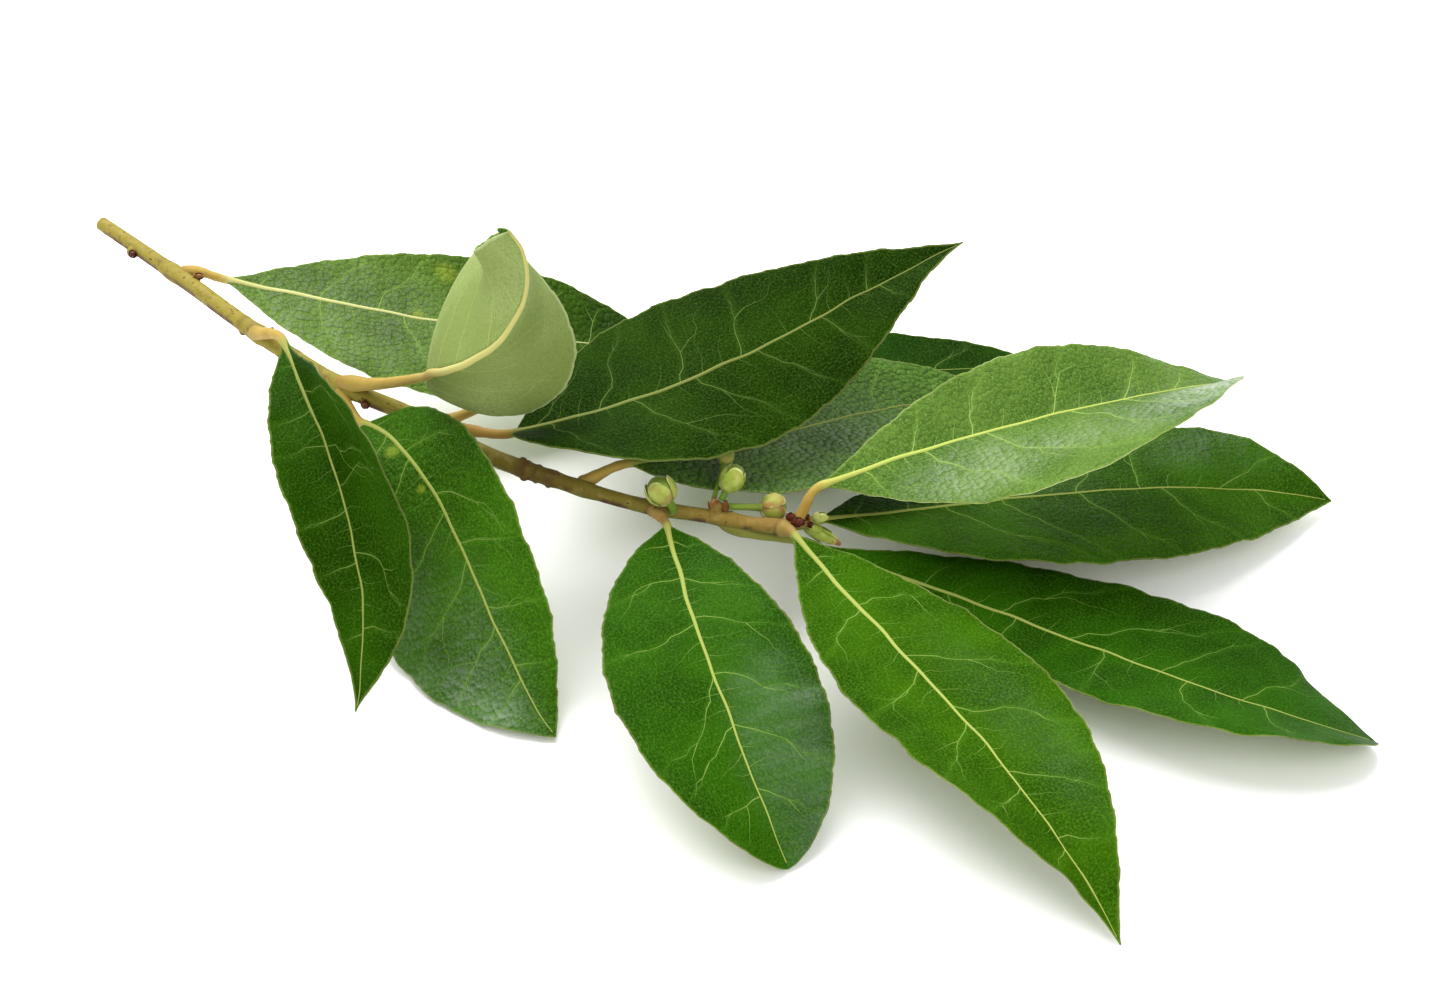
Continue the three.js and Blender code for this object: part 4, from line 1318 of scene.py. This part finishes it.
lenticel = little_ball("lenticel", *LENTICEL)
stem = grow(polylines("stem_bark", stem_lines()), BARK, BARK_INPUTS, Sides=26,
            Relief=BARK_RELIEF, Density=LENTICELS, Seed=4, Lenticel=lenticel, Finish=BARK_FINISH, Cork=CORK)
bpy.data.objects.remove(lenticel)
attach(stem, "root")
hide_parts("stem")
print("stem:", len(stem.data.polygons), "faces")

# %% [markdown]
# ## Shells over a ball
#
# A flower bud is a ball wrapped in four bracts, like cupped hands. Each bract is a thin shell
# shaped over the ball, so their edges really overlap and cast the fine lines that make a bud look
# wrapped. A bud of resting leaves has the same shells, longer, browner and more of them. So the
# shapes are worked out once, as arrays of points and lists of faces.

# %% Bracts
def over_ball(centre, axis, radius, tall, longitude, latitude, lift):
    """Points over a ball: latitude runs from 0 at the foot to pi at the top."""
    axis = unit(axis)
    side = unit(np.cross(axis, (0.31, 0.9, 0.28)))
    other = np.cross(axis, side)
    wide = (radius + lift) * np.sin(latitude)
    high = -(tall + lift) * np.cos(latitude)
    return (centre + (wide * np.cos(longitude))[..., None] * side
            + (wide * np.sin(longitude))[..., None] * other + high[..., None] * axis)


def shell(outer, inner):
    """Closed skin between two grids of the same shape: points and faces."""
    rows, columns = outer.shape[:2]
    count = rows * columns
    top = np.arange(count).reshape(rows, columns)
    faces = []
    for a, b, c, d in quads(top, False):
        faces += [(a, b, c, d), (a + count, d + count, c + count, b + count)]
    border = [int(i) for i in (*top[0, :], *top[1:, -1], *top[-1, -2::-1], *top[-2:0:-1, 0])]
    faces += [(b, a, a + count, b + count) for a, b in zip(border, border[1:] + border[:1])]
    return np.vstack([outer.reshape(-1, 3), inner.reshape(-1, 3)]), faces


def bract(centre, axis, radius, tall, turn, half_angle, top, lift, flare, thick):
    """One cupped bract: points, faces, and which faces belong to the rim."""
    rows, columns = ((16, 20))
    up = np.linspace(0.06, 1, rows)[:, None]
    across = np.linspace(-1, 1, columns)[None, :]
    rounded = np.sqrt(np.clip(1 - np.abs(across) ** 3.2, 0.02, 1))
    latitude = up * top * (0.35 + 0.65 * rounded)
    longitude = turn + half_angle * across * (0.55 + 0.45 * np.sin(np.pi * np.clip(up * 0.8, 0, 1)))
    open_up = lift + flare * up**3 + 0 * across
    outer, inner = (over_ball(centre, axis, radius, tall, longitude, latitude, open_up + extra)
                    for extra in (thick * (1 - 0.5 * up), 0))
    points, faces = shell(outer, inner)
    edge = np.ones((rows, columns), bool)
    edge[:-2, 1:-1] = False
    flagged = [*edge.ravel(), *edge.ravel()]
    return points, faces, [sum(flagged[i] for i in face) >= 3 for face in faces]


print("faces of one bract:", len(bract(np.zeros(3), (0, 0, 1), 1, 1, 0, 1, 2, 0, 0, 0.1)[1]))

# %% [markdown]
# ## Balls, tubes and one piece of them all
#
# The heart of a bud and its stalk are both rings of points that follow each other, so they share
# their faces. Bud, stalk and bracts then become one mesh, in which every face knows its material.

# %% Balls, tubes and parts
def joined_rings(rings, sides):
    """Faces between rings of points that follow each other, and the two ends; they face outwards."""
    faces = []
    for first in range(0, (rings - 1) * sides, sides):
        for j in range(sides):
            k = (j + 1) % sides
            faces.append((first + j, first + k, first + sides + k, first + sides + j))
    return faces + [tuple(range(sides))[::-1], tuple(range((rings - 1) * sides, rings * sides))]


def ball_skin(centre, axis, radius, tall, rows=14, columns=22):
    latitude = np.linspace(0.04, np.pi - 0.04, rows)[:, None] + np.zeros((1, columns))
    longitude = np.linspace(0, 2 * np.pi, columns, endpoint=False)[None, :] + np.zeros((rows, 1))
    grid = over_ball(centre, axis, radius, tall, longitude, latitude, 0)
    return grid.reshape(-1, 3), joined_rings(rows, columns)


def tube_skin(path, radius, sides=12):
    """A closed tube along a path; each ring takes its turn from the one before, so it can't twist."""
    ahead = unit(np.gradient(path, axis=0))
    side = unit(np.cross(ahead[0], (0.3, 0.2, 0.93)))
    angle = np.linspace(0, 2 * np.pi, sides, endpoint=False)[:, None]
    rings = []
    for place, forward, size in zip(path, ahead, radius):
        side = unit(side - forward * (side @ forward))
        rings.append(place + size * (np.cos(angle) * side + np.sin(angle) * np.cross(forward, side)))
    return np.vstack(rings), joined_rings(len(path), sides)


class Parts:
    """Gathers closed skins, each with its own material, into one piece."""

    def __init__(self):
        self.points, self.faces, self.which, self.count = [], [], [], 0

    def add(self, points, faces, material):
        """The material is a number for all faces or a list with one for each."""
        self.points.append(points)
        self.faces += [tuple(i + self.count for i in face) for face in faces]
        self.which += material if isinstance(material, list) else [material] * len(faces)
        self.count += len(points)

    def piece(self, name, materials):
        return make_mesh(name, np.vstack(self.points), self.faces, materials, self.which)


print("faces of a ball:", len(ball_skin(np.zeros(3), (0, 0, 1), 1, 1)[1]))

# %% [markdown]
# ## Flower buds
#
# Each bud sits on a bent stalk that widens into it. Two of its four bracts lie closer to the ball
# and two stand off a little, and each wears a thin pale rim. Two of the buds have begun to blush.

# %% Flower buds
FLOWER_BUDS = {  # foot on the spur or (distance, angle) on the stem, centre, radius, height,
    # half thickness of the stalk, turn of the bracts
    "flower_bud_1": ((128, 60), (-9.5, -31.8, 25), 2.6, 2.6, 0.62, 5.2),
    "flower_bud_2": ((0.2, -30.9, 22.4), (2, -28.4, 25), 2.15, 2.55, 0.5, 3.1),
    "flower_bud_3": ((1.0, -31.2, 21.4), (8.7, -28.7, 19.3), 2.3, 2.3, 0.5, 1.2),
    "flower_bud_4": ((-1.0, -30.2, 22.3), (1, -22.9, 25.3), 1.3, 1.4, 0.35, 0.9),
}
BLUSHING = ("flower_bud_3", "flower_bud_4")
BRACT, HEART, BUD_STALK, PALE_RIM = range(4)
BRACTS = (  # latitude of the top, turn, half angle, how far it lies off the ball, flare
    (2.35, 0.0, 1.22, 0.02, 0.05), (2.5, 1.62, 1.12, 0.13, 0.14), (2.62, 3.14, 1.02, 0.02, 0.05),
    (2.2, 4.75, 0.92, 0.13, 0.14),
)


def make_flower_bud(name, foot, centre, radius, tall, stalk, turn):
    centre = np.array(centre, float)
    if len(foot) == 2:
        middle, along, out = outwards(*foot)
        foot, way = middle + out * stem_radius(foot[0]) * 0.5, unit(out + 0.8 * along)
    else:
        foot = np.array(foot, float)
        way = unit(centre - foot)
    bend = foot + way * 0.45 * np.linalg.norm(centre - foot)
    t = np.linspace(0, 1, 18)[:, None]
    path = (1 - t) ** 2 * foot + 2 * t * (1 - t) * bend + t**2 * centre
    axis = unit(centre - path[-4])
    widening = 1.12 - 0.3 * t[:, 0] * (1 - t[:, 0]) + 0.7 * t[:, 0] ** 3
    parts = Parts()
    parts.add(*tube_skin(path, stalk * widening), BUD_STALK)
    parts.add(*ball_skin(centre, axis, radius * 0.93, tall * 0.93), HEART)
    for top, around, half_angle, lift, flare in BRACTS:
        points, faces, rim = bract(centre, axis, radius * 0.92, tall * 0.92, turn + around, half_angle,
                                   top, lift, flare, 0.13)
        parts.add(points, faces, [PALE_RIM if r else BRACT for r in rim])
    outer_finish = BUD_PINK if name in BLUSHING else BUD_GREEN
    return parts.piece(name + "_bracts", [outer_finish, BUD_HEART, STALK_GREEN, RIM])


for name, measures in FLOWER_BUDS.items():
    bud = make_flower_bud(name, *measures)
    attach(bud, "root")
    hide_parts(name)
    print(name, len(bud.data.polygons), "faces")

# %% [markdown]
# ## Resting buds and their scales
#
# The small brown buds in the leaf axils, the scales round the foot of the spur and the bud at the
# tip are all stacks of scales. Each bud gets its scales in a spiral that turns by the golden angle,
# as real ones do, with every scale a little higher and narrower than the last.

# %% Scaly buds
GOLDEN = math.radians(137.5)


def scaly(name, foot, tip, radius, scales, material, node=None, slot="leaf_bud", brown_tip=False):
    foot, tip = np.array(foot, float), np.array(tip, float)
    middle, half = (foot + tip) / 2, np.linalg.norm(tip - foot) / 2
    axis = unit(tip - foot)
    parts = Parts()
    parts.add(*ball_skin(middle, axis, radius * 0.8, half * 0.96, 10, 14), 1)
    for k in range(scales):
        share = k / (scales - 1)
        points, faces, _ = bract(middle, axis, radius * (0.88 - 0.1 * share), half * (0.92 + 0.06 * share),
                                 k * GOLDEN, 1.15 - 0.35 * share, 1.5 + 1.35 * share, 0.12 * (1 - share),
                                 0.16, 0.07)
        parts.add(points, faces, 0)
    if brown_tip:
        parts.add(*ball_skin(tip - axis * 0.6, axis, radius * 0.42, 0.9, 8, 10), 2)
    piece = parts.piece(name, [material, material, SCALE_BROWN])
    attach(piece, "root")
    if node:
        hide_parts(node)


def perch(at, around, height, lean, length):
    """Foot and tip of a bud on the stem, which leans towards the stem's tip."""
    centre, along, out = outwards(at, around)
    foot = centre + out * height
    return foot, foot + unit(out + lean * along) * length


print("turn from scale to scale:", round(math.degrees(GOLDEN), 1), "degrees")

# %% [markdown]
# ## Where the scaly buds sit
#
# Most of them perch on the bark and lean towards the tip of the stem. Those round the spur and the
# two at the growing tip have places of their own.

# %% Grow the scaly buds
LEAF_BUDS = {  # distance along the stem, angle, length, radius
    "leaf_bud_1": (26, -45, 2, 0.6), "leaf_bud_2": (71.5, 90, 1.8, 0.6), "leaf_bud_3": (88, -110, 2.2, 0.7),
    "leaf_bud_4": (125.4, 62, 1.4, 0.45), "leaf_bud_5": (147.5, 50, 2, 0.7),
    "leaf_bud_6": (147, 0, 1.5, 0.6),
}
for name, (at, around, length, radius) in LEAF_BUDS.items():
    scaly(f"{name}_scales", *perch(at, around, stem_radius(at) - 0.1, LEAN, length), radius, 5,
          SCALE_RED if at > 140 else SCALE_BROWN, name)

scaly("tip_bud_green_scales", (13.2, -30.0, 17.0), (19.4, -31.4, 14.0), 1.25, 6, BUD_GREEN,
      "tip_bud_green", "tip_bud", True)
scaly("tip_bud_pale_scales", (15.0, -30.3, 18), (17.5, -29.8, 18.4), 1.0, 4, KNOB, "tip_bud_pale",
      "tip_bud")
SPUR_SCALES = (  # foot, tip, radius
    ((-1.6, -31.4, 21.2), (-0.7, -31.2, 23.1), 0.6), ((0.7, -31.7, 20.9), (0.9, -31.3, 22.5), 0.62),
    ((1.6, -22.6, 25.6), (2.2, -21.7, 26.3), 0.4),
)
for k, (foot, tip, radius) in enumerate(SPUR_SCALES):
    scaly(f"spur_scales_{k + 1}", foot, tip, radius, 3, SCALE_BROWN)
for k, (at, around) in enumerate(((149, 55), (150, 30), (150.4, 80), (148.6, -15))):
    scaly(f"tip_scales_{k + 1}", *perch(at, around, stem_radius(at) * 0.8, 0.5, 1.0), 0.42, 3, SCALE_RED)
scaly("bark_nub_scales_1", *perch(47.4, -50, stem_radius(47.4) * 0.85, 0.4, 0.84), 0.42, 3, SCALE_RED)
scaly("scar_bud_scales", *perch(LEAF_SCAR[0] + 1.1, LEAF_SCAR[1] - 25, stem_radius(LEAF_SCAR[0]), 0.6, 1.5),
      0.6, 4, SCALE_RED)

# %% [markdown]
# ## Floor, light and camera
#
# A branch with this many dark, glossy leaves wants one big soft light. A large area light high up
# and a little behind gives broad, quiet highlights and soft shadows that fall towards the camera. A
# weaker one in front, and a bright world all around, keep the shaded sides green. The floor is
# nearly white, so the soft edges of the shadows read clearly.

# %% Stage
def lamp(name, place, target, size, power):
    data = bpy.data.lights.new(name, "AREA")
    data.shape, data.size, data.energy = "DISK", size, power
    light = put(name, data)
    light.location = place
    light.rotation_euler = (Vector(target) - Vector(place)).to_track_quat("-Z", "Y").to_euler()


lamp("sky panel", (-0.28, 0.42, 0.85), (0.02, 0, 0), 1.2, 17.0)
lamp("front fill", (0.5, -0.9, 0.9), (0, 0, 0.02), 0.9, 6.0)

world = bpy.data.worlds.new("soft world")
world.use_nodes = True
world.node_tree.nodes["Background"].inputs["Color"].default_value = grey(1.0)
world.node_tree.nodes["Background"].inputs["Strength"].default_value = 0.86
bpy.context.scene.world = world

FLOOR, PALE = 3.0, (0.98, 0.98, 0.985, 1.0)  # half its side in metres, and its colour
floor_mesh = bpy.data.meshes.new("floor")
floor_mesh.from_pydata([(-FLOOR, -FLOOR, 0), (FLOOR, -FLOOR, 0), (FLOOR, FLOOR, 0), (-FLOOR, FLOOR, 0)],
                       [], [(0, 1, 2, 3)])
floor = put("floor", floor_mesh)
floor_finish, floor_tree, floor_shader = new_material("floor")
wear(floor_tree, floor_shader, {"Base Color": PALE, "Roughness": 0.9, "Specular IOR Level": 0.1})
floor_mesh.materials.append(floor_finish)
print("floor:", 2 * FLOOR, "m wide")

# %% [markdown]
# A long lens from a little way off keeps the leaves in front from looking larger than those behind.
# Looking down at 36 degrees shows the faces of the leaves and still some of their thickness.

# %% Camera
DISTANCE, DOWN = 586.2, math.radians(36)  # mm from the recipe's zero, and how steeply it looks down
camera_data = bpy.data.cameras.new("camera")
camera_data.lens, camera_data.sensor_width = 85.0, 36.0
camera_data.clip_start, camera_data.clip_end = 0.01, 20.0
camera = put("camera", camera_data)
camera.location = (SHIFT + np.array([0, -DISTANCE * math.cos(DOWN), DISTANCE * math.sin(DOWN)])) * MM
camera.rotation_euler = (math.pi / 2 - DOWN, 0, 0)
bpy.context.scene.camera = camera
bpy.context.scene.view_settings.view_transform = "Standard"
print("camera at:", [round(c, 4) for c in camera.location])
